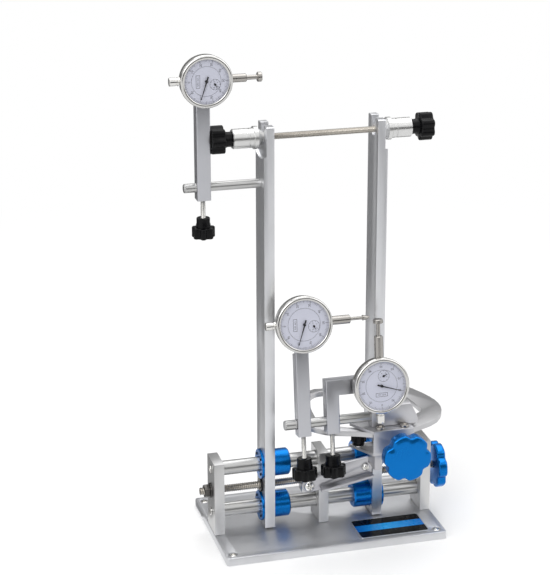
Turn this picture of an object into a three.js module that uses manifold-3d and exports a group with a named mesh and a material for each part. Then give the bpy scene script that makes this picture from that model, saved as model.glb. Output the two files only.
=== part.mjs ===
// Bicycle wheel truing stand with three dial gauges and a swinging caliper carriage.
// Millimetres, +Z up, +X to the right, -Y to the front.
// The origin is the centre of the base plate's underside.
import * as THREE from 'three';
import { mergeVertices } from 'three/addons/utils/BufferGeometryUtils.js';
import Module from 'manifold-3d';

const wasm = await Module();
wasm.setup();

// Fits and fineness
const fitGap = 0.3;
const overrun = 5;
const fineSides = 10;
const roundSides = 20;
const ringSides = 32;
const edgeSteps = 2;
const bevelSteps = 1;

// Base plate
const baseLength = 233;
const baseDepth = 146;
const baseThickness = 8;
const baseCornerRadius = 2.5;
const baseHoleInsetX = 8.5;
const baseHoleInsetY = 9.4;
const baseSinkRadius = 4.9;
const baseSinkDepth = 2.8;

// Nameplate on the base
const nameplateLength = 73.7;
const nameplateDepth = 40.9;
const nameplateThickness = 0.8;
const nameplateCornerRadius = 3;
const nameplateInsetRight = 16.5;
const nameplateInsetFront = 6.8;

// The upright plane that rods, screw and uprights share
const columnY = -3.4;

// Blocks that carry the rods
const blockThickness = 10.5;
const blockDepth = 31;
const blockHeight = 78.7;
const endBlockInset = 0.3;
const middleBlockX = 0;

// Guide rods
const guideRodRadius = 7.5;
const lowerRodRise = 21;
const upperRodRise = 68;
const rodEndWall = 3.5;
const rodScrewRadius = 2.4;
const rodScrewHeadRadius = 4.4;
const rodScrewHeadHeight = 1;

// Lead screw with its end nut and its lobed knob
const leadScrewRadius = 4;
const leadScrewRise = 44.5;
const leadScrewTail = 11.8;
const leadScrewDome = 1.6;
const washerRadius = 7.8;
const washerThickness = 1.4;
const hexNutRadius = 7.2;
const hexNutHeight = 5.8;
const hexSides = 6;
const leadKnobRadius = 24.5;
const leadKnobThickness = 9.5;
const leadKnobNeckRadius = 9;
const leadKnobNeckLength = 7;
const leadKnobEndWall = 4;

// Lobed knobs
const knobLobes = 6;
const knobNotchDepth = 4.6;
const knobEdge = 1.6;
const knobNotchSharpness = 3;
const knobLobeSteps = 8;
const knobTurn = THREE.MathUtils.degToRad(51);

// Uprights
const uprightX = 57.8;
const uprightThickness = 10.5;
const uprightDepth = 32;
const uprightLift = 2;
const uprightTop = 435.5;
const uprightCornerRadius = 1.5;
const axleDrop = 13;
const slotWidth = 12;
const recessDepth = 2.7;
const recessDrop = 33.5;
const recessRadius = 34;

// Bushes that slide on the guide rods
const bushRadius = 14;
const bushFlangeRadius = 15.7;
const bushFlangeThickness = 2.2;
const bushReach = 18;
const bushChamfer = 1.5;

// Nuts in the uprights that follow the lead screw
const leadNutRadius = 6.2;
const leadNutFlangeRadius = 7.3;
const leadNutFlangeThickness = 1.5;

// Axle rod and the clamps on its two ends
const axleRodRadius = 3.25;
const axleRodHalfLength = 100;
const coneTipRadius = 4.4;
const coneBaseRadius = 10;
const coneLength = 7.3;
const collarRadius = 11.25;
const collarLength = 4.5;
const sleeveRadius = 9.75;
const sleeveLength = 21;
const sleeveChamfer = 0.8;

// Black star knobs: each has a neck and a star
const starLobes = 7;
const starNotchDepth = 2.4;
const starEdge = 0.9;
const starNotchSharpness = 1;
const starLobeSteps = 4;
const axleKnob = { neckRadius: 8, neckLength: 7.7, starRadius: 14.25, starLength: 13.6 };
const axleKnobEndWall = 4.7;
const smallClamp = { neckRadius: 7.25, neckLength: 9.2, starRadius: 11.5, starLength: 11 };
const largeClamp = { neckRadius: 8.3, neckLength: 10.3, starRadius: 13, starLength: 11.8 };
const smallClampDrop = 30.8;
const largeClampDrop = 36;
const clampScrewRadius = 2.5;

// Square bars that carry the gauges, measured from the rod that each one rides on
const barWidth = 13.6;
const barFoot = 12.2;
const barEdge = 1;
const gaugeStandOff = 18;
const barOverGauge = 6.5;
const leanBack = THREE.MathUtils.degToRad(8);

// Upper gauge on the left upright
const supportRodRadius = 4.5;
const supportRodDrop = 59.1;
const supportRodEndX = -139.5;
const supportRodPocket = 6;
const leftBarX = -120.3;
const leftHubHeight = 109.6;

// Middle gauge on the cross rod
const middleBarX = -28.2;
const middleHubHeight = 106.9;
const middleHubShift = -1;
const tongueBottom = 72;
const tongueThickness = 6;

// Right gauge on the arm of an L-shaped bar
const rightBarX = 2;
const rightBarArmBottom = 27.4;
const rightBarArmHeight = 15.7;
const rightBarArmReach = 55;
const rightHubHeight = 36.5;
const rightHubReach = 47;
const rightBarSlotHeight = 9;
const rightBarSlotWidth = 4;
const rightBarSlotDepth = 5;
const rightBarSlotDrop = 3.5;
const rightBarSlotWall = 1.8;

// Dial gauges: bodies
const caseBack = 13.5;
const caseStep = 0.8;
const bezelDepth = 4.7;
const bezelLip = 3.8;
const bezelLipThickness = 1.7;
const bezelWall = 1.7;
const rimWall = 1.2;
const faceFloor = 3.5;
const stemAxisDepth = 9.5;
const gaugeLugRadius = 4.2;
const capRadius = 4.25;
const capWall = 1.2;
const spindleTail = 22;
const bezelChamfer = 1;

// Dial gauges: pointers
const pointerLength = 20.5;
const pointerTail = 6;
const pointerHubRadius = 1.7;
const pointerHubFront = 1;
const pointerFront = 1.3;
const pointerThickness = 0.5;
const pointerRootWidth = 1.5;
const pointerTipWidth = 0.5;
const shortPointerLength = 4.2;
const shortPointerTail = 1.6;
const shortPointerHubRadius = 1.1;
const shortPointerFront = 2.3;
const shortPointerRootWidth = 0.9;
const pointerTurn = THREE.MathUtils.degToRad(-108);
const shortPointerTurn = THREE.MathUtils.degToRad(-62);

// Dial gauges: what differs between the three
const leftGauge = {
  bezelRadius: 25.5, stemRadius: 4, stemEnd: 40.3, capEnd: 34.7, spindleRadius: 2.25,
  spindleEnd: 51, tipRadius: 4.75, tipEndRadius: 4.75, tipLength: 4.3,
  subDialX: 8.5, subDialZ: -3.4,
};
const middleGauge = {
  bezelRadius: 28.8, stemRadius: 4.5, stemEnd: 48.8, capEnd: 38, spindleRadius: 1.75,
  spindleEnd: 62, tipRadius: 2.8, tipEndRadius: 1, tipLength: 7,
  subDialX: 10, subDialZ: -2.5,
};
const rightGauge = {
  bezelRadius: 28.8, stemRadius: 4.5, stemEnd: 50.2, capEnd: 40, spindleRadius: 2,
  spindleEnd: 63.2, tipRadius: 5, tipEndRadius: 5, tipLength: 4.3,
  subDialX: 10, subDialZ: -2.5,
};

// Bracket of the caliper carriage: a channel that opens to the back
const bracketLeft = 41;
const bracketRight = 84;
const bracketFront = -56;
const bracketDepth = 29.5;
const bracketRise = 113;
const bracketHeight = 26.5;
const bracketWall = 3;
const bracketCutBack = 16.5;

// Rod block on the bracket, and the cross rod in it
const rodBlockInsetLeft = 1.5;
const rodBlockLength = 42;
const rodBlockDepth = 12.4;
const rodBlockHeight = 21.7;
const rodBlockToe = 7.5;
const rodBlockToeHeight = 6;
const crossRodRadius = 5;
const crossRodBack = 18;
const crossRodRise = 10;
const crossRodEndX = -48;
const crossRodPocket = 34;

// Caliper arms, each on a socket screw through the bracket's top
const armThickness = 5.5;
const armDrop = 0.8;
const armPivotBack = 7;
const leftArmPivotX = 50;
const rightArmPivotX = 76;
const armBossRadius = 3.7;
const armScrewRadius = 2;
const armScrewHeadRadius = 4.8;
const armScrewHeadHeight = 2.2;
const armScrewPastArm = 1.4;
const leftArmBow = 71;
const leftArmReach = 128;
const rightArmBow = 57;
const rightArmReach = 128;
const leftArmOuterShares = [
  [0.05, -0.01], [0.285, 0.052], [0.486, 0.092], [0.6, 0.114], [0.72, 0.145], [0.887, 0.24],
  [0.98, 0.367], [1, 0.47], [0.958, 0.61], [0.817, 0.805], [0.634, 0.938], [0.465, 1],
];
const leftArmInnerShares = [
  [0.31, 0.99], [0.33, 0.93], [0.45, 0.92], [0.56, 0.88], [0.64, 0.8], [0.7, 0.66], [0.735, 0.48],
  [0.735, 0.36], [0.63, 0.27], [0.45, 0.172], [0.2, 0.12], [0.05, 0.07], [-0.045, 0.012],
];
const rightArmOuterShares = [
  [0.05, -0.02], [0.21, 0.02], [0.67, 0.125], [0.93, 0.28], [1, 0.445], [0.93, 0.617], [0.72, 0.836],
  [0.49, 0.96], [0.25, 1],
];
const rightArmInnerShares = [
  [0.08, 0.945], [0.02, 0.867], [0.1, 0.82], [0.4, 0.758], [0.53, 0.617], [0.6, 0.355], [0.44, 0.277],
  [0.25, 0.18], [0.05, 0.1], [-0.06, 0.012],
];

// Lobed knob on the bracket's front
const frontKnobX = 67.2;
const frontKnobRise = 8;
const frontKnobRadius = 24.8;
const frontKnobThickness = 14;
const frontKnobNeckRadius = 11;
const frontKnobNeckLength = 19.7;
const frontScrewRadius = 3.5;
const frontScrewReach = 12;

// Small knob inside the bracket
const smallKnobX = 33;
const smallKnobInsetBack = 4.5;
const smallKnobNeckRadius = 5.8;
const smallKnobNeckLength = 4.2;
const smallKnobRadius = 8;
const smallKnobHeight = 8.6;
const smallKnobStudRadius = 1.8;
const smallKnobStudDrop = 2.5;

// Swing lever that carries the bracket, in front of the uprights
const leverFront = -24;
const leverThickness = 4;
const leverPivotX = -17.8;
const leverPivotRise = 46.4;
const leverRightX = 50;
const leverLowRootRise = 39;
const leverLowEndRise = 50.8;
const leverTopKneeX = 21;
const leverTopKneeRise = 67.5;
const leverTopEndRise = 72;
const leverNoseRadius = 7.4;
const leverFlangeDepth = 8;
const leverFlangeThickness = 3;
const leverFlangeStartX = -6;
const leverEarLeft = 46;
const leverEarRight = 54;
const leverEarFront = -45;
const leverEarDrop = 21;
const earScrewRadius = 1.6;
const earScrewHeadRadius = 2.8;
const earScrewHeadHeight = 2.2;
const earScrewLength = 10;
const earScrewInset = 5;

// Screws of the lever, and the lug on the middle block that holds the pivot
const pivotBoltRadius = 3;
const pivotBoltHeadRadius = 5.5;
const pivotBoltHeadHeight = 5.5;
const pivotBoltDepth = 9;
const lugDepth = 11.6;
const lugLeftReach = 6.2;
const lugBottomReach = 8.4;
const lugTopReach = 6.6;
const leverScrewX = 42.9;
const leverScrewRise = 60.7;
const leverScrewRadius = 2;
const leverScrewHeadRadius = 4;
const leverScrewHeadHeight = 4;

// Places worked out from the sizes above; a rise is measured up from the base's top
const baseTop = baseThickness;
const lowerRodZ = baseTop + lowerRodRise;
const upperRodZ = baseTop + upperRodRise;
const leadScrewZ = baseTop + leadScrewRise;
const blockBottom = baseTop + fitGap;
const blockFront = columnY - blockDepth / 2;
const endBlockX = baseLength / 2 - endBlockInset - blockThickness / 2;
const endBlockFace = endBlockX + blockThickness / 2;
const uprightFace = uprightX + uprightThickness / 2;
const uprightBottom = baseTop + uprightLift;
const axleZ = uprightTop - axleDrop;
const recessBottom = uprightTop - recessDrop;
const supportRodZ = uprightTop - supportRodDrop;
const slotFace = uprightFace - recessDepth;
const coneSlope = (coneBaseRadius - coneTipRadius) / coneLength;
const coneStart = slotFace - (slotWidth / 2 - fitGap - coneTipRadius) / coneSlope;
const leverBack = leverFront + leverThickness;
const leverPivotZ = baseTop + leverPivotRise;
const leverLowRootZ = baseTop + leverLowRootRise;
const leverLowEndZ = baseTop + leverLowEndRise;
const leverTopKneeZ = baseTop + leverTopKneeRise;
const leverTopEndZ = baseTop + leverTopEndRise;
const leverScrewZ = baseTop + leverScrewRise;
const bracketTop = baseTop + bracketRise;
const bracketBottom = bracketTop - bracketHeight;
const bracketBack = bracketFront + bracketDepth;
const crossRodY = bracketFront + crossRodBack;
const crossRodZ = bracketTop + crossRodRise;
const armTop = bracketTop - bracketWall - armDrop;
const armPivotY = bracketFront + armPivotBack;
const smallKnobY = bracketBack - smallKnobInsetBack;
const frontKnobZ = bracketBottom + frontKnobRise;

// Finishes
const finishes = {
  satin: { color: 0xc9c9c6, roughness: 0.38, metalness: 0.9 },
  bright: { color: 0xe2e2e0, roughness: 0.15, metalness: 1 },
  thread: { color: 0xb9aea2, roughness: 0.35, metalness: 1 },
  blue: { color: 0x0a6fc2, roughness: 0.3, metalness: 0.8 },
  black: { color: 0x111113, roughness: 0.25, metalness: 0 },
  plate: { color: 0x1d3f63, roughness: 0.4, metalness: 0.3 },
  case: { color: 0xb4b4b4, roughness: 0.3, metalness: 0.9 },
};

// Directions: where a shape's own x, y and height go
const axisX = new THREE.Vector3(1, 0, 0);
const axisY = new THREE.Vector3(0, 1, 0);
const axisZ = new THREE.Vector3(0, 0, 1);
const minus = (vector) => vector.clone().negate();
const directions = {
  right: [axisY, axisZ, axisX],
  left: [minus(axisY), axisZ, minus(axisX)],
  front: [axisX, axisZ, minus(axisY)],
  back: [minus(axisX), axisZ, axisY],
  up: [axisX, axisY, axisZ],
  down: [axisX, minus(axisY), minus(axisZ)],
};

// A closed geometry as a solid that can be joined and cut.
function solidOf(geometry) {
  geometry.deleteAttribute('normal');
  geometry.deleteAttribute('uv');
  const welded = mergeVertices(geometry);
  return new wasm.Manifold(new wasm.Mesh({
    numProp: 3,
    vertProperties: new Float32Array(welded.attributes.position.array),
    triVerts: new Uint32Array(welded.index.array),
  }));
}

// Turns a geometry from its own +Z to a direction and moves it to a point.
function aim(geometry, direction, at) {
  geometry.applyMatrix4(new THREE.Matrix4().makeBasis(...directions[direction]));
  return solidOf(geometry.translate(...at));
}

// A box between two corners.
function block(low, high) {
  const size = high.map((value, i) => value - low[i]);
  const geometry = new THREE.BoxGeometry(...size);
  return solidOf(geometry.translate(...high.map((value, i) => (value + low[i]) / 2)));
}

// A cylinder or cone that starts at a point and runs along a direction.
function cylinder(radius, length, direction, at, sides = roundSides, endRadius = radius) {
  const geometry = new THREE.CylinderGeometry(endRadius, radius, length, sides);
  return aim(geometry.rotateX(Math.PI / 2).translate(0, 0, length / 2), direction, at);
}

// A profile of [radius, height] turned about a direction.
function turned(profile, direction, at, sides = roundSides) {
  const points = profile.map(([radius, height]) => new THREE.Vector2(radius, height));
  return aim(new THREE.LatheGeometry(points, sides).rotateX(Math.PI / 2), direction, at);
}

// An outline given a thickness along a direction, with an optional bevelled edge.
function slab(shape, thickness, direction, at, edge = 0, steps = edgeSteps) {
  const geometry = new THREE.ExtrudeGeometry(shape, {
    depth: thickness - 2 * edge, curveSegments: steps, bevelEnabled: edge > 0,
    bevelThickness: edge, bevelSize: edge, bevelOffset: -edge, bevelSegments: bevelSteps,
  });
  return aim(geometry.translate(0, 0, edge), direction, at);
}

// A closed outline through [x, y] pairs.
function outline(points) {
  return new THREE.Shape(points.map(([x, y]) => new THREE.Vector2(x, y)));
}

// A rectangle with rounded corners, around its own centre.
function roundedRectangle(width, height, radius) {
  const x = width / 2;
  const y = height / 2;
  const shape = new THREE.Shape();
  shape.absarc(x - radius, y - radius, radius, 0, Math.PI / 2);
  shape.absarc(radius - x, y - radius, radius, Math.PI / 2, Math.PI);
  shape.absarc(radius - x, radius - y, radius, Math.PI, -Math.PI / 2);
  shape.absarc(x - radius, radius - y, radius, -Math.PI / 2, 0);
  return shape;
}

// A round outline with evenly spaced notches.
function lobedOutline(radius, notchDepth, lobes, sharpness, lobeSteps) {
  const steps = lobes * lobeSteps;
  const points = [];
  for (let i = 0; i < steps; i += 1) {
    const turn = (2 * Math.PI * i) / steps;
    const reach = radius - notchDepth * ((1 - Math.cos(lobes * turn)) / 2) ** sharpness;
    points.push([reach * Math.cos(turn), reach * Math.sin(turn)]);
  }
  return outline(points);
}

// A named mesh in one of the finishes.
function piece(name, finish, solid) {
  const { vertProperties, triVerts } = solid.getMesh();
  const geometry = new THREE.BufferGeometry();
  geometry.setAttribute('position', new THREE.BufferAttribute(vertProperties, 3));
  geometry.setIndex(new THREE.BufferAttribute(triVerts, 1));
  geometry.computeVertexNormals();
  const mesh = new THREE.Mesh(geometry, new THREE.MeshStandardMaterial(finishes[finish]));
  mesh.name = name;
  return mesh;
}

// Meshes and groups placed together at a point.
function assembly(children, at = [0, 0, 0]) {
  const group = new THREE.Group();
  group.position.set(...at);
  group.add(...children);
  return group;
}

// Several solids in one.
function joined(solids) {
  return solids.reduce((whole, part) => whole.add(part));
}

// The base plate, with a round sink for a screw head in each corner.
function basePlate() {
  const shape = roundedRectangle(baseLength, baseDepth, baseCornerRadius);
  const plate = slab(shape, baseThickness, 'up', [0, 0, 0]);
  const x = baseLength / 2 - baseHoleInsetX;
  const y = baseDepth / 2 - baseHoleInsetY;
  const sinks = [[-x, -y], [x, -y], [x, y], [-x, y]].map(([sinkX, sinkY]) => cylinder(baseSinkRadius,
    baseSinkDepth + overrun, 'up', [sinkX, sinkY, baseTop - baseSinkDepth], fineSides));
  return piece('base_plate', 'satin', plate.subtract(joined(sinks)));
}

function nameplate() {
  const x = baseLength / 2 - nameplateInsetRight - nameplateLength / 2;
  const y = nameplateInsetFront + nameplateDepth / 2 - baseDepth / 2;
  const shape = roundedRectangle(nameplateLength, nameplateDepth, nameplateCornerRadius);
  const plate = piece('nameplate', 'plate', slab(shape, nameplateThickness, 'up', [0, 0, 0]));
  plate.position.set(x, y, baseTop + fitGap);
  return plate;
}

// A rod block without its bores, standing on the base at x.
function blankBlock(x) {
  return block([x - blockThickness / 2, blockFront, blockBottom],
    [x + blockThickness / 2, blockFront + blockDepth, blockBottom + blockHeight]);
}

// A bore along X through the column plane.
function columnBore(radius, fromX, toX, z, sides = roundSides) {
  return cylinder(radius, toX - fromX, 'right', [fromX, columnY, z], sides);
}

function middleBlock() {
  const left = middleBlockX - blockThickness / 2;
  const right = middleBlockX + blockThickness / 2;
  const lugFront = leverBack + fitGap;
  const lug = block([leverPivotX - lugLeftReach, lugFront, leverPivotZ - lugBottomReach],
    [middleBlockX, lugFront + lugDepth, leverPivotZ + lugTopReach]);
  const cuts = joined([
    columnBore(guideRodRadius + fitGap, left - overrun, right + overrun, lowerRodZ),
    columnBore(guideRodRadius + fitGap, left - overrun, right + overrun, upperRodZ),
    columnBore(leadScrewRadius + fitGap, leverPivotX - lugLeftReach - overrun, right + overrun, leadScrewZ),
    cylinder(pivotBoltRadius + fitGap, pivotBoltDepth + overrun, 'back',
      [leverPivotX, lugFront - overrun, leverPivotZ], fineSides),
  ]);
  return piece('middle_block', 'satin', blankBlock(middleBlockX).add(lug).subtract(cuts));
}

// An end block: blind pockets for the rods, with a screw hole behind each.
function endBlock(name, side) {
  const inner = side * (endBlockX - blockThickness / 2);
  const outward = side > 0 ? 'right' : 'left';
  const pocket = blockThickness - rodEndWall + fitGap + overrun;
  const start = inner - side * overrun;
  const through = blockThickness + 2 * overrun;
  const cuts = [cylinder(leadScrewRadius + fitGap, through, outward, [start, columnY, leadScrewZ])];
  for (const z of [lowerRodZ, upperRodZ]) {
    cuts.push(cylinder(guideRodRadius + fitGap, pocket, outward, [start, columnY, z]));
    cuts.push(cylinder(rodScrewRadius + fitGap, through, outward, [start, columnY, z], fineSides));
  }
  return piece(name, 'satin', blankBlock(side * endBlockX).subtract(joined(cuts)));
}

// A guide rod with the screw that holds it at each end.
function guideRod(name, z) {
  const half = endBlockFace - rodEndWall;
  const headStart = endBlockFace + fitGap;
  const headMiddle = headStart + rodScrewHeadHeight / 2;
  return piece(name, 'bright', joined([
    columnBore(guideRodRadius, -half, half, z),
    columnBore(rodScrewRadius, -headMiddle, headMiddle, z, fineSides),
    columnBore(rodScrewHeadRadius, headStart, headStart + rodScrewHeadHeight, z, fineSides),
    columnBore(rodScrewHeadRadius, -headStart - rodScrewHeadHeight, -headStart, z, fineSides),
  ]));
}

// Where the lobed knob's body starts and ends on the lead screw.
const leadKnobStart = endBlockFace + fitGap + leadKnobNeckLength;
const leadKnobEnd = leadKnobStart + leadKnobThickness;

function leadScrew() {
  const left = -endBlockFace - leadScrewTail;
  const right = leadKnobEnd - leadKnobEndWall;
  const profile = [[0, 0], [leadScrewRadius, 0], [leadScrewRadius, right - left - leadScrewDome],
    [leadScrewRadius - leadScrewDome, right - left], [0, right - left]];
  return piece('lead_screw', 'thread', turned(profile, 'left', [right, columnY, leadScrewZ]));
}

function leadScrewNut() {
  const face = endBlockFace + fitGap;
  const body = joined([
    cylinder(washerRadius, washerThickness, 'left', [-face, columnY, leadScrewZ]),
    cylinder(hexNutRadius, washerThickness + hexNutHeight, 'left', [-face, columnY, leadScrewZ], hexSides),
  ]);
  const bore = cylinder(leadScrewRadius + fitGap, washerThickness + hexNutHeight + 2 * overrun, 'left',
    [overrun - face, columnY, leadScrewZ]);
  return piece('lead_screw_nut', 'bright', body.subtract(bore));
}

// A six-lobed knob with a neck behind it, around its own axis.
function lobedKnob(radius, thickness, neckRadius, neckLength, direction) {
  const shape = lobedOutline(radius, knobNotchDepth, knobLobes, knobNotchSharpness, knobLobeSteps);
  const spin = new THREE.Matrix4().makeRotationZ(knobTurn);
  const body = new THREE.ExtrudeGeometry(shape, {
    depth: thickness - 2 * knobEdge, bevelEnabled: true, bevelThickness: knobEdge,
    bevelSize: knobEdge, bevelOffset: -knobEdge, bevelSegments: bevelSteps,
  }).applyMatrix4(spin).translate(0, 0, neckLength + knobEdge);
  return aim(body, direction, [0, 0, 0]).add(
    cylinder(neckRadius, neckLength + thickness / 2, direction, [0, 0, 0]));
}

function leadScrewKnob() {
  const knob = lobedKnob(leadKnobRadius, leadKnobThickness, leadKnobNeckRadius, leadKnobNeckLength, 'right');
  const bore = cylinder(leadScrewRadius + fitGap,
    leadKnobNeckLength + leadKnobThickness - leadKnobEndWall + fitGap + overrun, 'right', [-overrun, 0, 0]);
  const mesh = piece('lead_screw_knob', 'blue', knob.subtract(bore));
  mesh.position.set(endBlockFace + fitGap, columnY, leadScrewZ);
  return mesh;
}

// An upright around x = 0, with its recessed outer face towards one side.
function upright(name, side) {
  const half = uprightThickness / 2;
  const height = uprightTop - uprightBottom;
  const outward = side > 0 ? 'right' : 'left';
  const through = uprightThickness + 2 * overrun;
  const start = -side * (half + overrun);
  const bore = (radius, z, sides) => cylinder(radius, through, outward, [start, columnY, z], sides);
  const shape = new THREE.Shape();
  const y = uprightDepth / 2;
  shape.moveTo(-y, 0);
  shape.lineTo(y, 0);
  shape.absarc(y - uprightCornerRadius, height - uprightCornerRadius, uprightCornerRadius, 0, Math.PI / 2);
  shape.absarc(uprightCornerRadius - y, height - uprightCornerRadius, uprightCornerRadius,
    Math.PI / 2, Math.PI);
  const blank = slab(shape, uprightThickness, 'right', [-half, columnY, uprightBottom], 0, 2 * edgeSteps);
  const recess = cylinder(recessRadius, recessDepth + overrun, outward,
    [side * (half - recessDepth), columnY, recessBottom + recessRadius], ringSides);
  const cuts = [
    recess,
    block([-half - overrun, columnY - slotWidth / 2, axleZ],
      [half + overrun, columnY + slotWidth / 2, uprightTop + overrun]),
    bore(slotWidth / 2, axleZ, roundSides),
    bore(leadNutRadius + fitGap, leadScrewZ, roundSides),
    bore(bushRadius + fitGap, lowerRodZ, roundSides),
    bore(bushRadius + fitGap, upperRodZ, roundSides),
  ];
  if (side < 0) {
    cuts.push(cylinder(supportRodRadius + fitGap, supportRodPocket + overrun, 'right',
      [-half - overrun, columnY, supportRodZ], fineSides));
  }
  return piece(name, 'satin', blank.subtract(joined(cuts)));
}

// A flanged bush, turned about the guide rod from the upright's outer face inward.
function bush(name, side, z) {
  const bore = guideRodRadius + fitGap;
  const end = bushFlangeThickness + fitGap + uprightThickness + bushReach;
  const profile = [[bore, 0], [bushFlangeRadius, 0], [bushFlangeRadius, bushFlangeThickness],
    [bushRadius, bushFlangeThickness], [bushRadius, end - bushChamfer], [bushRadius - bushChamfer, end],
    [bore, end], [bore, 0]];
  const face = side * (uprightThickness / 2 + fitGap + bushFlangeThickness);
  return piece(name, 'blue', turned(profile, side > 0 ? 'left' : 'right', [face, columnY, z]));
}

// A flanged nut in an upright, around the lead screw.
function leadNut(name, side) {
  const bore = leadScrewRadius + fitGap;
  const end = leadNutFlangeThickness + fitGap + uprightThickness;
  const profile = [[bore, 0], [leadNutFlangeRadius, 0], [leadNutFlangeRadius, leadNutFlangeThickness],
    [leadNutRadius, leadNutFlangeThickness], [leadNutRadius, end], [bore, end], [bore, 0]];
  const face = side * (uprightThickness / 2 + fitGap + leadNutFlangeThickness);
  return piece(name, 'black', turned(profile, side > 0 ? 'left' : 'right', [face, columnY, leadScrewZ]));
}

// A cone, collar and sleeve that centre the axle rod in an upright's slot.
function axleClamp(name, side) {
  const bore = axleRodRadius + fitGap;
  const collarEnd = coneLength + collarLength;
  const end = collarEnd + sleeveLength;
  const profile = [[bore, 0], [coneTipRadius, 0], [coneBaseRadius, coneLength], [collarRadius, coneLength],
    [collarRadius, collarEnd], [sleeveRadius, collarEnd], [sleeveRadius, end - sleeveChamfer],
    [sleeveRadius - sleeveChamfer, end], [bore, end], [bore, 0]];
  return piece(name, 'satin', turned(profile, side > 0 ? 'right' : 'left',
    [side * (coneStart - uprightX), columnY, axleZ]));
}

// A neck and a star in one, along a direction from the origin.
function starKnob(knob, direction) {
  const shape = lobedOutline(knob.starRadius, starNotchDepth, starLobes, starNotchSharpness,
    starLobeSteps);
  const along = directions[direction][2];
  const starStart = along.clone().multiplyScalar(knob.neckLength).toArray();
  return joined([
    cylinder(knob.neckRadius, knob.neckLength + knob.starLength / 2, direction, [0, 0, 0]),
    slab(shape, knob.starLength, direction, starStart, starEdge),
  ]);
}

function axleKnobPiece(name, side) {
  const outward = side > 0 ? 'right' : 'left';
  const length = axleKnob.neckLength + axleKnob.starLength - axleKnobEndWall;
  const bore = cylinder(axleRodRadius + fitGap, length + overrun, outward, [-side * overrun, 0, 0],
    fineSides);
  const mesh = piece(name, 'black', starKnob(axleKnob, outward).subtract(bore));
  const start = coneStart + coneLength + collarLength + sleeveLength + fitGap;
  mesh.position.set(side * (start - uprightX), columnY, axleZ);
  return mesh;
}

// One upright with everything that slides with it.
function uprightAssembly(word, side) {
  return assembly([
    upright(`${word}_upright`, side),
    bush(`${word}_lower_bush`, side, lowerRodZ),
    bush(`${word}_upper_bush`, side, upperRodZ),
    leadNut(`${word}_lead_nut`, side),
    axleClamp(`${word}_axle_clamp`, side),
    axleKnobPiece(`${word}_axle_knob`, side),
  ], [side * uprightX, 0, 0]);
}

function axleRod() {
  return piece('axle_rod', 'thread', cylinder(axleRodRadius, 2 * axleRodHalfLength, 'right',
    [-axleRodHalfLength, columnY, axleZ], fineSides));
}

function supportRod() {
  const end = supportRodPocket - uprightFace - fitGap;
  return piece('gauge_support_rod', 'bright', cylinder(supportRodRadius, end - supportRodEndX, 'right',
    [supportRodEndX, columnY, supportRodZ], roundSides));
}

// A gauge's case around its hub: front towards -Y, stem towards +X.
function gaugeCase(name, gauge) {
  const rimRadius = gauge.bezelRadius - bezelWall - fitGap;
  const rimFront = bezelLipThickness + fitGap;
  const drumFront = bezelDepth + fitGap;
  const drumRadius = gauge.bezelRadius - caseStep;
  const bore = gauge.spindleRadius + fitGap;
  const lugStart = caseBack - faceFloor;
  const body = joined([
    cylinder(rimRadius, caseBack - rimFront, 'front', [0, caseBack, 0], ringSides),
    cylinder(drumRadius, caseBack - drumFront, 'front', [0, caseBack, 0], ringSides),
    cylinder(gauge.stemRadius, gauge.stemEnd, 'right', [0, stemAxisDepth, 0], fineSides),
    cylinder(capRadius, gauge.capEnd, 'left', [0, stemAxisDepth, 0], fineSides),
    cylinder(gaugeLugRadius, gaugeStandOff - fitGap - lugStart, 'back', [0, lugStart, 0], fineSides),
  ]);
  const cuts = joined([
    cylinder(rimRadius - rimWall, faceFloor + overrun, 'front', [0, faceFloor, 0], ringSides),
    cylinder(bore, gauge.stemEnd + overrun, 'right', [0, stemAxisDepth, 0], fineSides),
    cylinder(bore, gauge.capEnd - capWall, 'left', [0, stemAxisDepth, 0], fineSides),
  ]);
  return piece(`${name}_case`, 'case', body.subtract(cuts));
}

function gaugeBezel(name, gauge) {
  const outer = gauge.bezelRadius;
  const opening = outer - bezelLip;
  const inner = outer - bezelWall;
  const profile = [[opening, bezelDepth], [outer - bezelChamfer, bezelDepth],
    [outer, bezelDepth - bezelChamfer], [outer, 0], [inner, 0], [inner, bezelDepth - bezelLipThickness],
    [opening, bezelDepth - bezelLipThickness], [opening, bezelDepth]].reverse();
  return piece(`${name}_bezel`, 'bright', turned(profile, 'front', [0, bezelDepth, 0], ringSides));
}

// A pointer around its own arbor, lying along +X.
function pointer(name, front, hubFront, hubRadius, length, tail, rootWidth) {
  const hand = outline([[-tail, -rootWidth / 2], [length, -pointerTipWidth / 2],
    [length, pointerTipWidth / 2], [-tail, rootWidth / 2]]);
  const hubBack = faceFloor - fitGap;
  return piece(name, 'black', joined([
    slab(hand, pointerThickness, 'front', [0, front + pointerThickness, 0]),
    cylinder(hubRadius, hubBack - hubFront, 'front', [0, hubBack, 0], fineSides),
  ]));
}

function gaugeSpindle(name, gauge) {
  const tip = [gauge.spindleEnd, stemAxisDepth, 0];
  return piece(`${name}_spindle`, 'bright', joined([
    cylinder(gauge.spindleRadius, spindleTail + gauge.spindleEnd + gauge.tipLength / 2, 'right',
      [-spindleTail, stemAxisDepth, 0], fineSides),
    cylinder(gauge.tipRadius, gauge.tipLength, 'right', tip, fineSides, gauge.tipEndRadius),
  ]));
}

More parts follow.
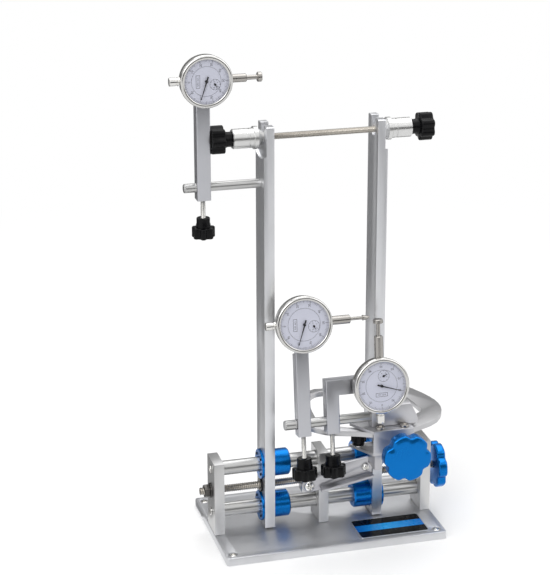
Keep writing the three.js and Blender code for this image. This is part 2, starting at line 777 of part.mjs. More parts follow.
// A whole dial gauge around its hub.
function dialGauge(name, gauge, at, stemTurn = 0) {
  const long = pointer(`${name}_long_pointer`, pointerFront, pointerHubFront, pointerHubRadius,
    pointerLength - leftGauge.bezelRadius + gauge.bezelRadius, pointerTail, pointerRootWidth);
  const short = pointer(`${name}_short_pointer`, shortPointerFront, shortPointerFront,
    shortPointerHubRadius, shortPointerLength, shortPointerTail, shortPointerRootWidth);
  long.rotation.y = -pointerTurn;
  short.rotation.y = -shortPointerTurn;
  short.position.set(gauge.subDialX, 0, gauge.subDialZ);
  const group = assembly([gaugeCase(name, gauge), gaugeBezel(name, gauge), long, short,
    gaugeSpindle(name, gauge)], at);
  group.rotation.y = -stemTurn;
  return group;
}

// The bores that every gauge bar has: one for its rod and one for its clamp screw.
function barBores(rodRadius) {
  return joined([
    cylinder(rodRadius + fitGap, barWidth + 2 * overrun, 'right', [-barWidth / 2 - overrun, 0, 0]),
    cylinder(clampScrewRadius + fitGap, barFoot + overrun, 'down', [0, 0, 0], fineSides),
  ]);
}

// A square bar around x = 0 between two heights, with its edges broken.
function squareBar(bottom, top) {
  const shape = roundedRectangle(barWidth, barWidth, barEdge);
  return slab(shape, top - bottom, 'up', [0, 0, bottom]);
}

// The clamp screw and its moulded star knob, hanging below the rod.
function gaugeClamp(name, knob, drop, rodRadius) {
  const screw = cylinder(clampScrewRadius, drop + knob.neckLength, 'down', [0, 0, -rodRadius - fitGap],
    fineSides);
  const star = starKnob(knob, 'down').translate([0, 0, -drop]);
  return piece(name, 'black', screw.trimByPlane([0, 0, 1], -drop - knob.neckLength).add(star));
}

// The upper gauge's bar, clamp and gauge, around the support rod.
function leftGaugeAssembly() {
  const bar = squareBar(-barFoot, leftHubHeight + barOverGauge).subtract(barBores(supportRodRadius));
  return assembly([
    piece('left_gauge_bar', 'satin', bar),
    gaugeClamp('left_gauge_clamp', smallClamp, smallClampDrop, supportRodRadius),
    dialGauge('left_gauge', leftGauge, [0, -barWidth / 2 - gaugeStandOff, leftHubHeight]),
  ], [leftBarX, columnY, supportRodZ]);
}

// The middle gauge's bar, thinned to a tongue behind the gauge.
function middleGaugeAssembly() {
  const top = middleHubHeight + barOverGauge;
  const half = barWidth / 2;
  const thinning = block([-half - overrun, tongueThickness - half, tongueBottom],
    [half + overrun, half + overrun, top + overrun]);
  const bar = squareBar(-barFoot, top).subtract(barBores(crossRodRadius)).subtract(thinning);
  const group = assembly([
    piece('middle_gauge_bar', 'satin', bar),
    gaugeClamp('middle_gauge_clamp', largeClamp, largeClampDrop, crossRodRadius),
    dialGauge('middle_gauge', middleGauge, [middleHubShift, -half - gaugeStandOff, middleHubHeight]),
  ], [middleBarX, crossRodY, crossRodZ]);
  group.rotation.x = -leanBack;
  return group;
}

// The right gauge's L-shaped bar, with the gauge at the end of its arm and a slot in its corner.
function rightGaugeAssembly() {
  const half = barWidth / 2;
  const top = rightBarArmBottom + rightBarArmHeight;
  const arm = block([0, -half, rightBarArmBottom], [rightBarArmReach, half, top]);
  const slotTop = top - rightBarSlotDrop;
  const slotFront = rightBarSlotWall - half;
  const slot = block([-half - overrun, slotFront, slotTop - rightBarSlotHeight],
    [rightBarSlotDepth - half, slotFront + rightBarSlotWidth, slotTop]);
  const bar = squareBar(-barFoot, top).add(arm).subtract(barBores(crossRodRadius)).subtract(slot);
  const group = assembly([
    piece('right_gauge_bar', 'satin', bar),
    gaugeClamp('right_gauge_clamp', largeClamp, largeClampDrop, crossRodRadius),
    dialGauge('right_gauge', rightGauge, [rightHubReach, -half - gaugeStandOff, rightHubHeight],
      Math.PI / 2),
  ], [rightBarX, crossRodY, crossRodZ]);
  group.rotation.x = -leanBack;
  return group;
}

function crossRod() {
  const blockLeft = bracketLeft + rodBlockInsetLeft;
  return piece('cross_rod', 'bright', cylinder(crossRodRadius, blockLeft + crossRodPocket - crossRodEndX,
    'right', [crossRodEndX, crossRodY, crossRodZ]));
}

function rodBlock() {
  const left = bracketLeft + rodBlockInsetLeft;
  const bottom = bracketTop + fitGap;
  const shape = outline([[0, 0], [rodBlockLength + rodBlockToe, 0],
    [rodBlockLength + rodBlockToe, rodBlockToeHeight], [rodBlockLength, rodBlockHeight],
    [0, rodBlockHeight]]);
  const body = slab(shape, rodBlockDepth, 'front', [left, crossRodY + rodBlockDepth / 2, bottom]);
  const pocket = cylinder(crossRodRadius + fitGap, crossRodPocket + fitGap + overrun, 'right',
    [left - overrun, crossRodY, crossRodZ]);
  return piece('rod_block', 'satin', body.subtract(pocket));
}

// The bracket: two cut-away plates joined by a front web.
function bracket() {
  const plate = outline([[bracketLeft, bracketFront], [bracketRight, bracketFront],
    [bracketRight, bracketBack], [bracketLeft - bracketCutBack, bracketBack]]);
  const body = joined([
    slab(plate, bracketWall, 'up', [0, 0, bracketBottom]),
    slab(plate, bracketWall, 'up', [0, 0, bracketTop - bracketWall]),
    block([bracketLeft, bracketFront, bracketBottom],
      [bracketRight, bracketFront + bracketWall, bracketTop]),
  ]);
  const plateCut = bracketWall + 2 * overrun;
  const pivots = [leftArmPivotX, rightArmPivotX].map((x) => cylinder(armScrewRadius + fitGap,
    plateCut, 'down', [x, armPivotY, bracketTop + overrun], fineSides));
  const earHoles = earScrewPlaces().map(([x, y]) => cylinder(earScrewRadius + fitGap, plateCut, 'up',
    [x, y, bracketBottom - overrun], fineSides));
  const cuts = joined([
    ...pivots,
    ...earHoles,
    cylinder(smallKnobStudRadius + fitGap, plateCut, 'up',
      [smallKnobX, smallKnobY, bracketBottom - overrun], fineSides),
    cylinder(frontScrewRadius + fitGap, plateCut, 'back',
      [frontKnobX, bracketFront - overrun, frontKnobZ], fineSides),
  ]);
  return piece('bracket', 'satin', body.subtract(cuts));
}

// The socket screw that an arm turns on.
function armScrew(name, x) {
  const shank = bracketWall + fitGap + armDrop + armThickness + armScrewPastArm;
  const seat = bracketTop + fitGap;
  return piece(name, 'bright', joined([
    cylinder(armScrewHeadRadius, armScrewHeadHeight, 'up', [x, armPivotY, seat], fineSides),
    cylinder(armScrewRadius, shank + armScrewHeadHeight / 2, 'up', [x, armPivotY, seat - shank], fineSides),
  ]));
}

// A hooked arm around its own pivot; side is -1 for the left arm.
function caliperArmPiece(name, side, bow, reach, outerShares, innerShares, pivotX) {
  const at = ([x, y]) => new THREE.Vector2(side * bow * x, reach * y);
  const outer = outerShares.map(at);
  const inner = innerShares.map(at);
  const shape = new THREE.Shape();
  shape.moveTo(outer[0].x, outer[0].y);
  shape.splineThru(outer.slice(1));
  shape.lineTo(inner[0].x, inner[0].y);
  shape.splineThru(inner.slice(1));
  const hook = slab(shape, armThickness, 'up', [0, 0, -armThickness]);
  const boss = cylinder(armBossRadius, armThickness, 'down', [0, 0, 0], fineSides);
  const hole = cylinder(armScrewRadius + fitGap, armThickness + 2 * overrun, 'down', [0, 0, overrun],
    fineSides);
  const mesh = piece(name, 'satin', hook.add(boss).subtract(hole));
  mesh.position.set(pivotX, armPivotY, armTop);
  return mesh;
}

function frontKnob() {
  const knob = lobedKnob(frontKnobRadius, frontKnobThickness, frontKnobNeckRadius, frontKnobNeckLength,
    'front');
  const screw = cylinder(frontScrewRadius, frontScrewReach + frontKnobNeckLength, 'back',
    [0, -frontKnobNeckLength, 0], fineSides);
  const mesh = piece('front_knob', 'blue', knob.add(screw));
  mesh.position.set(frontKnobX, bracketFront - fitGap, frontKnobZ);
  return mesh;
}

function smallKnob() {
  const floor = bracketBottom + bracketWall + fitGap;
  const stud = bracketWall + fitGap + smallKnobStudDrop;
  const knob = joined([
    cylinder(smallKnobNeckRadius, smallKnobNeckLength + smallKnobHeight / 2, 'up', [0, 0, 0]),
    cylinder(smallKnobRadius, smallKnobHeight, 'up', [0, 0, smallKnobNeckLength]),
    cylinder(smallKnobStudRadius, stud + smallKnobNeckLength, 'up', [0, 0, -stud], fineSides),
  ]);
  const mesh = piece('small_knob', 'black', knob);
  mesh.position.set(smallKnobX, smallKnobY, floor);
  return mesh;
}

// The points of the two screws that hold the lever's ear to the bracket.
function earScrewPlaces() {
  const x = (Math.max(leverEarLeft, bracketLeft) + leverEarRight) / 2;
  return [[x, leverEarFront + earScrewInset], [x, leverFront - earScrewInset]];
}

function swingLever() {
  const noseTop = leverPivotZ + leverNoseRadius;
  const rootX = leverPivotX + leverNoseRadius / 2;
  const side = outline([[leverPivotX, leverLowRootZ], [rootX, leverLowRootZ], [leverRightX, leverLowEndZ],
    [leverRightX, leverTopEndZ], [leverTopKneeX, leverTopKneeZ], [rootX, noseTop], [leverPivotX, noseTop]]);
  const slope = (leverLowEndZ - leverLowRootZ) / (leverRightX - rootX);
  const flangeStartZ = leverLowRootZ + slope * (leverFlangeStartX - rootX);
  const strip = outline([[leverFlangeStartX, flangeStartZ], [leverRightX, leverLowEndZ],
    [leverRightX, leverLowEndZ + leverFlangeThickness],
    [leverFlangeStartX, flangeStartZ + leverFlangeThickness]]);
  const earTop = bracketBottom - fitGap;
  const body = joined([
    slab(side, leverThickness, 'front', [0, leverBack, 0]),
    cylinder(leverNoseRadius, leverThickness, 'front', [leverPivotX, leverBack, leverPivotZ]),
    slab(strip, leverThickness + leverFlangeDepth, 'front', [0, leverBack, 0]),
    block([leverEarLeft, leverEarFront, earTop - leverEarDrop], [leverEarRight, leverBack, earTop]),
  ]);
  const through = leverThickness + 2 * overrun;
  const cuts = joined([
    cylinder(pivotBoltRadius + fitGap, through, 'front', [leverPivotX, leverBack + overrun, leverPivotZ],
      fineSides),
    cylinder(leverScrewRadius + fitGap, through, 'front', [leverScrewX, leverBack + overrun, leverScrewZ],
      fineSides),
    ...earScrewPlaces().map(([x, y]) => cylinder(earScrewRadius + fitGap, earScrewLength + overrun, 'down',
      [x, y, earTop + overrun], fineSides)),
  ]);
  return piece('swing_lever', 'satin', body.subtract(cuts));
}

// A screw through the bracket's floor into the lever's ear.
function earScrew(name, [x, y]) {
  const seat = bracketBottom + bracketWall + fitGap;
  return piece(name, 'bright', joined([
    cylinder(earScrewHeadRadius, earScrewHeadHeight, 'up', [x, y, seat], fineSides),
    cylinder(earScrewRadius, earScrewLength + earScrewHeadHeight / 2, 'up', [x, y, seat - earScrewLength],
      fineSides),
  ]));
}

// A round-headed screw that enters the lever's front towards the back.
function leverScrewSolid(x, z, radius, depth, headRadius, headHeight) {
  const front = leverFront - fitGap;
  const profile = [[0, 0], [headRadius, 0], [headRadius, headHeight / 2],
    [headRadius - headHeight / 4, headHeight], [0, headHeight]];
  return joined([
    turned(profile, 'front', [x, front, z], fineSides),
    cylinder(radius, depth + headHeight / 2, 'back', [x, front - headHeight / 2, z], fineSides),
  ]);
}

function leverPivotBolt() {
  return piece('lever_pivot_bolt', 'bright', leverScrewSolid(leverPivotX, leverPivotZ, pivotBoltRadius,
    leverThickness + pivotBoltDepth, pivotBoltHeadRadius, pivotBoltHeadHeight));
}

function leverScrew() {
  return piece('lever_screw', 'bright', leverScrewSolid(leverScrewX, leverScrewZ, leverScrewRadius,
    leverThickness + fitGap, leverScrewHeadRadius, leverScrewHeadHeight));
}

// The whole stand
const stand = assembly([
  basePlate(),
  nameplate(),
  endBlock('left_block', -1),
  middleBlock(),
  endBlock('right_block', 1),
  guideRod('lower_guide_rod', lowerRodZ),
  guideRod('upper_guide_rod', upperRodZ),
  assembly([leadScrew(), leadScrewNut(), leadScrewKnob()]),
  uprightAssembly('left', -1),
  uprightAssembly('right', 1),
  axleRod(),
  supportRod(),
  leftGaugeAssembly(),
  assembly([
    swingLever(),
    leverPivotBolt(),
    leverScrew(),
    bracket(),
    earScrew('front_floor_screw', earScrewPlaces()[0]),
    earScrew('back_floor_screw', earScrewPlaces()[1]),
    armScrew('left_arm_screw', leftArmPivotX),
    armScrew('right_arm_screw', rightArmPivotX),
    caliperArmPiece('left_caliper_arm', -1, leftArmBow, leftArmReach, leftArmOuterShares,
      leftArmInnerShares, leftArmPivotX),
    caliperArmPiece('right_caliper_arm', 1, rightArmBow, rightArmReach, rightArmOuterShares,
      rightArmInnerShares, rightArmPivotX),
    frontKnob(),
    smallKnob(),
    rodBlock(),
    crossRod(),
    middleGaugeAssembly(),
    rightGaugeAssembly(),
  ]),
]);

export default stand;
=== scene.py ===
"""Dresses the wheel truing stand: finishes, dials, threads, knobs, small fasteners, camera and light.

Sizes are in millimetres until a piece is set in the frame, which is in metres.
The origin is the centre of the base plate's underside, +Z is up and -Y is the front.
"""

import logging
import math
from contextlib import contextmanager
from dataclasses import dataclass, field
from enum import Enum
from typing import Callable, Iterator, Optional, Sequence

import bmesh
import bpy
from mathutils import Matrix, Vector


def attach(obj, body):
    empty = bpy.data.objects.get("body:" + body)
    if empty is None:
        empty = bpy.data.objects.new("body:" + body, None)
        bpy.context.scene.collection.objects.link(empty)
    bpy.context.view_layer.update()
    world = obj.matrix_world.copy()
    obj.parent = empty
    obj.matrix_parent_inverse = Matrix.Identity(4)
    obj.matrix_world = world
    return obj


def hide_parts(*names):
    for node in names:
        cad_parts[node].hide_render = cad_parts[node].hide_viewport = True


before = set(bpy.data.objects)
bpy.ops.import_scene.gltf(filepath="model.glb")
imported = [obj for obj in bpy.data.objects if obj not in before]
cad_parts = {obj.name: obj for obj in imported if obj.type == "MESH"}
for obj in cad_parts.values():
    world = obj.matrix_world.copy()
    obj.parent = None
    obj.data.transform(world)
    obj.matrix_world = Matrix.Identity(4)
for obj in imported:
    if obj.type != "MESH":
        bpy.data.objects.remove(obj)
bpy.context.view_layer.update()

LOG = logging.getLogger("truing_stand")
MM = 0.001
COLUMN_Y = -3.4
SCREW_Z = 52.5
AXLE_Z = 422.5
CROSS_Y, CROSS_Z = -38.0, 131.0
ROD_LEVELS = (("lower", 29.0), ("upper", 76.0))
MERGE = 0.002
FLAT = math.radians(0.5)
PATCH_DETAIL = 4.0
PATCH_LEVEL = 0.85
PATCH_FADE = 0.3

Colour = tuple[float, float, float]
Profile = Sequence[tuple[float, float]]


class Toward(Enum):
    """Where a piece's own height points, as the frame's directions of its x, y and z."""

    RIGHT = ((0, 1, 0), (0, 0, 1), (1, 0, 0))
    LEFT = ((0, -1, 0), (0, 0, 1), (-1, 0, 0))
    FRONT = ((1, 0, 0), (0, 0, 1), (0, -1, 0))
    BACK = ((-1, 0, 0), (0, 0, 1), (0, 1, 0))
    UP = ((1, 0, 0), (0, 1, 0), (0, 0, 1))
    DOWN = ((1, 0, 0), (0, -1, 0), (0, 0, -1))

    def place(self, at: Sequence[float]) -> Matrix:
        """The placement that turns a piece this way and sets it at a point."""
        turn = Matrix([Vector(axis) for axis in self.value]).transposed().to_4x4()
        return Matrix.Translation(Vector(at)) @ turn


class Select(Enum):
    """What an edit-mode selection picks."""

    VERTICES = "VERT"
    EDGES = "EDGE"
    FACES = "FACE"


class Grain(Enum):
    """The way that a finish's fine lines run, as the stretch of its texture."""

    EVEN = (1.0, 1.0, 1.0)
    ALONG_X = (0.03, 1.0, 1.0)
    ALONG_Z = (1.0, 1.0, 0.03)
    AROUND_X = (1.0, 0.05, 0.05)


class Slot(Enum):
    """The material slots that the finishes name."""

    SATIN = "satin_aluminium"
    BRIGHT = "bright_steel"
    THREAD = "threaded_steel"
    BLUE = "blue_anodised"
    BLACK = "black_plastic"
    PLATE = "printed_plate"
    GAUGE = "gauge_metal"
    BLACK_STEEL = "black_steel"
    POINTER = "pointer_black"


def linear(code: str) -> Colour:
    """Turns a six-digit screen colour into the renderer's linear one.

    Args:
        code: Six hexadecimal digits.

    Returns:
        Red, green and blue from 0 to 1.
    """
    parts = [int(code[i:i + 2], 16) / 255 for i in (0, 2, 4)]
    return tuple(v / 12.92 if v <= 0.04045 else ((v + 0.055) / 1.055) ** 2.4 for v in parts)


def around(radius: float, count: int, start: float, way: int = 1) -> list[tuple[float, float]]:
    """Points spread evenly on a circle from a starting turn, clockwise where the way is -1."""
    turns = [start + way * i * 2 * math.pi / count for i in range(count)]
    return [(radius * math.cos(turn), radius * math.sin(turn)) for turn in turns]


class Wiring:
    """Adds and links the nodes of one tree."""

    def __init__(self, tree: bpy.types.NodeTree) -> None:
        """Takes the tree to work on."""
        self.tree = tree

    def fill(self, node: bpy.types.Node, inputs: dict[str | int, object]) -> None:
        """Gives a node's inputs what they need.

        Args:
            node: The node.
            inputs: By name or number, a socket to link or a plain value.
        """
        for key, value in inputs.items():
            if isinstance(value, bpy.types.NodeSocket):
                self.tree.links.new(value, node.inputs[key])
            else:
                node.inputs[key].default_value = value

    def node(self, kind: str, inputs: dict[str | int, object], **values: object) -> bpy.types.Node:
        """Adds a shader node.

        Args:
            kind: The node's type name after its first word, ShaderNode.
            inputs: By name or number, a socket to link or a plain value.
            **values: Properties of the node.

        Returns:
            The node.
        """
        made = self.tree.nodes.new(f"ShaderNode{kind}")
        for key, value in values.items():
            setattr(made, key, value)
        self.fill(made, inputs)
        return made


class Groups:
    """Node groups that several finishes share. Each is built once."""

    @staticmethod
    def _new(name: str, inputs: dict[str, object], output: str) -> Wiring:
        """Makes an empty group.

        Args:
            name: The group's name.
            inputs: Each input's name and its value; a tuple is a vector, a number is a value.
            output: Name of the value output.

        Returns:
            The group's wiring, with its tree's two ends named in and out.
        """
        tree = bpy.data.node_groups.new(name, "ShaderNodeTree")
        for key, value in inputs.items():
            kind = "NodeSocketVector" if isinstance(value, tuple) else "NodeSocketFloat"
            socket = tree.interface.new_socket(name=key, in_out="INPUT", socket_type=kind)
            socket.default_value = value
        tree.interface.new_socket(name=output, in_out="OUTPUT", socket_type="NodeSocketFloat")
        tree.nodes.new("NodeGroupInput").name = "in"
        tree.nodes.new("NodeGroupOutput").name = "out"
        return Wiring(tree)

    @staticmethod
    def grain() -> bpy.types.NodeTree:
        """Fine lines or specks: noise on stretched coordinates, as a value around one half.

        Returns:
            The group.
        """
        found = bpy.data.node_groups.get("fine_grain")
        if found:
            return found
        made = Groups._new("fine_grain", {"Vector": (0.0, 0.0, 0.0), "Stretch": (1.0, 1.0, 1.0),
                                          "Scale": 900.0, "Detail": 3.0}, "Value")
        given = made.tree.nodes["in"].outputs
        scaled = made.node("VectorMath", {0: given["Vector"], 1: given["Stretch"]}, operation="MULTIPLY")
        noise = made.node("TexNoise", {"Vector": scaled.outputs[0], "Scale": given["Scale"],
                                       "Detail": given["Detail"]})
        made.fill(made.tree.nodes["out"], {"Value": noise.outputs["Fac"]})
        return made.tree

    @staticmethod
    def patches() -> bpy.types.NodeTree:
        """Soft patches left by handling: a mask from 0 to 1 with the given share of cover.

        Returns:
            The group.
        """
        found = bpy.data.node_groups.get("soft_patches")
        if found:
            return found
        made = Groups._new("soft_patches", {"Vector": (0.0, 0.0, 0.0), "Scale": 40.0, "Cover": 0.5},
                           "Mask")
        given = made.tree.nodes["in"].outputs
        noise = made.node("TexNoise", {"Vector": given["Vector"], "Scale": given["Scale"],
                                       "Detail": PATCH_DETAIL})
        low = made.node("Math", {0: PATCH_LEVEL, 1: given["Cover"]}, operation="SUBTRACT").outputs[0]
        high = made.node("Math", {0: low, 1: PATCH_FADE}, operation="ADD").outputs[0]
        ramp = made.node("MapRange", {"Value": noise.outputs["Fac"], "From Min": low, "From Max": high})
        made.fill(made.tree.nodes["out"], {"Mask": ramp.outputs["Result"]})
        return made.tree


class Recipe(Wiring):
    """Wires one material's nodes."""

    def __init__(self, name: str) -> None:
        """Starts a material.

        Args:
            name: The material's name.
        """
        self.material = bpy.data.materials.new(name)
        self.material.use_nodes = True
        super().__init__(self.material.node_tree)
        self.shader = self.tree.nodes["Principled BSDF"]
        self.place = self.tree.nodes.new("ShaderNodeTexCoord").outputs["Object"]

    def group(self, tree: bpy.types.NodeTree, **values: object) -> bpy.types.NodeSocket:
        """The first output of a shared group, placed on the object's coordinates."""
        return self.node("Group", {"Vector": self.place, **values}, node_tree=tree).outputs[0]

    def between(self, mask: bpy.types.NodeSocket, low: float, high: float) -> bpy.types.NodeSocket:
        """Spreads a mask between two values."""
        return self.node("MapRange", {"Value": mask, "To Min": low, "To Max": high}).outputs["Result"]

    def blend(self, mask: bpy.types.NodeSocket, first: tuple, second: object) -> bpy.types.NodeSocket:
        """Mixes two colours, given with their alpha or as sockets, by a mask."""
        return self.node("Mix", {"Factor": mask, 6: first, 7: second}, data_type="RGBA").outputs[2]

    def bump(self, height: bpy.types.NodeSocket, depth: float, strength: float) -> None:
        """Raises the surface by a height of a given depth in metres."""
        made = self.node("Bump", {"Strength": strength, "Distance": depth, "Height": height})
        self.fix(Normal=made.outputs["Normal"])

    def fix(self, **values: object) -> None:
        """Gives the shader's own sockets plain values or links."""
        self.fill(self.shader, {key.replace("_", " "): value for key, value in values.items()})


@dataclass(frozen=True)
class Finish:
    """A metal or plastic finish with fine grain, soft patches and slight colour variation."""

    name: str
    colour: Colour
    slot: Slot
    roughness: float = 0.35
    metallic: float = 1.0
    grain: Grain = Grain.EVEN
    grain_scale: float = 900.0
    grain_depth: float = 0.00002
    grain_strength: float = 0.15
    patch_shade: float = 0.93
    patch_scale: float = 35.0
    patch_cover: float = 0.45
    patch_gloss: tuple = (0.82, 0.94)
    grain_gloss: float = 0.3
    specular: float = 0.5

    def material(self) -> bpy.types.Material:
        """The Blender material, built the first time that it is asked for.

        Returns:
            The material.
        """
        found = bpy.data.materials.get(self.name)
        if found:
            return found
        recipe = Recipe(self.name)
        grain = recipe.group(Groups.grain(), Stretch=self.grain.value, Scale=self.grain_scale)
        patch = recipe.group(Groups.patches(), Scale=self.patch_scale, Cover=self.patch_cover)
        shade = tuple(v * self.patch_shade for v in self.colour)
        low, high = (share * self.roughness for share in self.patch_gloss)
        rough = recipe.node("Math", {0: grain, 1: self.grain_gloss * self.roughness,
                                     2: recipe.between(patch, low, high)}, operation="MULTIPLY_ADD")
        recipe.bump(grain, self.grain_depth, self.grain_strength)
        recipe.fix(Base_Color=recipe.blend(patch, (*self.colour, 1.0), (*shade, 1.0)),
                   Roughness=rough.outputs[0], Metallic=self.metallic, Specular_IOR_Level=self.specular)
        return recipe.material


@dataclass(frozen=True)
class Finishes:
    """Every finish of the stand."""

    plate: Finish = Finish("satin_plate", linear("D8D9DC"), Slot.SATIN, 0.42, grain_scale=1400,
                           grain_strength=0.1)
    block: Finish = Finish("satin_block", linear("D4D4D4"), Slot.SATIN, 0.38, grain=Grain.ALONG_Z)
    upright: Finish = Finish("satin_upright", linear("DCDDE0"), Slot.SATIN, 0.38, grain=Grain.ALONG_Z,
                             patch_shade=0.97)
    bar: Finish = Finish("satin_bar", linear("C0C1C6"), Slot.SATIN, 0.36, grain=Grain.ALONG_Z,
                         patch_shade=0.97)
    sheet: Finish = Finish("satin_bracket", linear("CDCDD0"), Slot.SATIN, 0.44)
    arm: Finish = Finish("satin_arm", linear("C6C6C8"), Slot.SATIN, 0.36, grain_scale=1200)
    lever: Finish = Finish("satin_lever", linear("BEBEC2"), Slot.SATIN, 0.34, grain=Grain.ALONG_X)
    turned: Finish = Finish("turned_aluminium", linear("DADAD9"), Slot.SATIN, 0.28, grain=Grain.AROUND_X,
                            grain_scale=1600, grain_strength=0.06)
    bezel: Finish = Finish("bezel_plating", linear("CFCECC"), Slot.GAUGE, 0.13, grain_strength=0.03,
                           patch_shade=0.97)
    stem: Finish = Finish("stem_steel", linear("A9A6A2"), Slot.GAUGE, 0.2, grain_strength=0.03)
    rod: Finish = Finish("ground_rod", linear("BEBEBD"), Slot.BRIGHT, 0.3, grain_scale=2500,
                         grain_strength=0.01, patch_shade=0.99)
    bright: Finish = Finish("bright_plating", linear("E0DFDC"), Slot.BRIGHT, 0.1, grain_strength=0.03,
                            patch_shade=0.97)
    thread: Finish = Finish("rolled_thread", linear("C0BBB3"), Slot.THREAD, 0.26, grain_scale=1500,
                            patch_shade=0.85)
    steel: Finish = Finish("dull_steel", linear("5A5856"), Slot.BRIGHT, 0.26, grain_strength=0.06)
    blue: Finish = Finish("deep_blue", linear("0472C4"), Slot.BLUE, 0.26, metallic=0.85,
                          grain_scale=1500, grain_strength=0.06, patch_shade=0.94)
    black: Finish = Finish("moulded_black", linear("0B0B0D"), Slot.BLACK, 0.28, metallic=0.0,
                           grain_scale=700, grain_strength=0.1, patch_shade=0.8, specular=0.15)
    case: Finish = Finish("gauge_case", linear("C9C8C4"), Slot.GAUGE, 0.2, grain_strength=0.05)
    black_steel: Finish = Finish("oxide_steel", linear("2A2A2C"), Slot.BLACK_STEEL, 0.32, metallic=0.8)
    ink: Finish = Finish("hand_black", linear("050506"), Slot.POINTER, 0.5, metallic=0.0,
                         grain_strength=0.05, specular=0.1)
    print: Finish = Finish("dial_print", linear("1A1B24"), Slot.POINTER, 0.6, metallic=0.0,
                           grain_strength=0.05, specular=0.2)
    card: Finish = Finish("dial_card", linear("D0D2E0"), Slot.GAUGE, 0.5, metallic=0.0, grain_scale=2500,
                          grain_strength=0.08, patch_shade=0.985, patch_scale=120)
    border: Finish = Finish("plate_border", linear("C8CCD2"), Slot.PLATE, 0.3, metallic=0.8)


@dataclass(frozen=True)
class Glass:
    """A clear crystal that is mostly see-through."""

    name: str = "gauge_crystal"
    tint: Colour = (0.5, 0.5, 0.55)
    cover: float = 0.03
    smear: float = 1.2
    gloss: tuple = (0.03, 0.09)
    bend: float = 1.5
    patch_scale: float = 90.0
    patch_cover: float = 0.4

    def material(self) -> bpy.types.Material:
        """The crystal's material, with faint smears in its gloss.

        Returns:
            The material.
        """
        found = bpy.data.materials.get(self.name)
        if found:
            return found
        recipe = Recipe(self.name)
        patch = recipe.group(Groups.patches(), Scale=self.patch_scale, Cover=self.patch_cover)
        recipe.fix(Roughness=recipe.between(patch, *self.gloss),
                   Alpha=recipe.between(patch, self.cover, self.cover * self.smear),
                   Base_Color=(*self.tint, 1.0), IOR=self.bend)
        return recipe.material


@dataclass(frozen=True)
class BandedPlate:
    """The nameplate's print: two dark bands with a brighter blue one between them."""

    name: str = "banded_print"
    front: float = -66.2
    back: float = -25.3
    left: float = 26.3
    right: float = 100.0
    ground: str = "06070A"
    blues: tuple = ((0.0, "0A58B0"), (0.45, "26A4F0"), (1.0, "1270C8"))
    band: tuple = ((0.33, 0.0), (0.35, 1.0), (0.66, 1.0), (0.68, 0.0))
    gloss: tuple = (0.2, 0.3)
    patch_scale: float = 60.0
    patch_cover: float = 0.5
    grain_scale: float = 1200.0
    grain_depth: float = 0.00001
    grain_strength: float = 0.1
    specular: float = 0.2
    slot: Slot = Slot.PLATE

    def material(self) -> bpy.types.Material:
        """The print's material, banded by the place on the plate.

        Returns:
            The material.
        """
        found = bpy.data.materials.get(self.name)
        if found:
            return found
        recipe = Recipe(self.name)
        split = recipe.node("SeparateXYZ", {0: recipe.place}).outputs
        along = self._share(recipe, split["X"], self.left, self.right)
        across = self._share(recipe, split["Y"], self.front, self.back)
        blue = self._ramp(recipe, along, [(place, linear(code)) for place, code in self.blues])
        band = self._ramp(recipe, across, [(place, (value,) * 3) for place, value in self.band])
        patch = recipe.group(Groups.patches(), Scale=self.patch_scale, Cover=self.patch_cover)
        grain = recipe.group(Groups.grain(), Scale=self.grain_scale)
        recipe.bump(grain, self.grain_depth, self.grain_strength)
        recipe.fix(Base_Color=recipe.blend(band, (*linear(self.ground), 1.0), blue),
                   Roughness=recipe.between(patch, *self.gloss), Metallic=0.0,
                   Specular_IOR_Level=self.specular)
        return recipe.material

    @staticmethod
    def _share(recipe: Recipe, value: bpy.types.NodeSocket, low: float,
               high: float) -> bpy.types.NodeSocket:
        """How far a coordinate is between two places in millimetres, from 0 to 1."""
        made = recipe.node("MapRange", {"Value": value, "From Min": low * MM, "From Max": high * MM})
        return made.outputs["Result"]

    @staticmethod
    def _ramp(recipe: Recipe, value: bpy.types.NodeSocket,
              stops: Sequence[tuple[float, Colour]]) -> bpy.types.NodeSocket:
        """Spreads a value over colours.

        Args:
            recipe: The material's nodes.
            value: A value from 0 to 1.
            stops: Place and colour of each stop, in order.

        Returns:
            The colour.
        """
        made = recipe.node("ValToRGB", {"Fac": value})
        elements = made.color_ramp.elements
        elements[0].position, elements[1].position = stops[0][0], stops[-1][0]
        for place, _ in stops[1:-1]:
            elements.new(place)
        for element, (_, colour) in zip(elements, stops):
            element.color = (*colour, 1.0)
        return made.outputs["Color"]


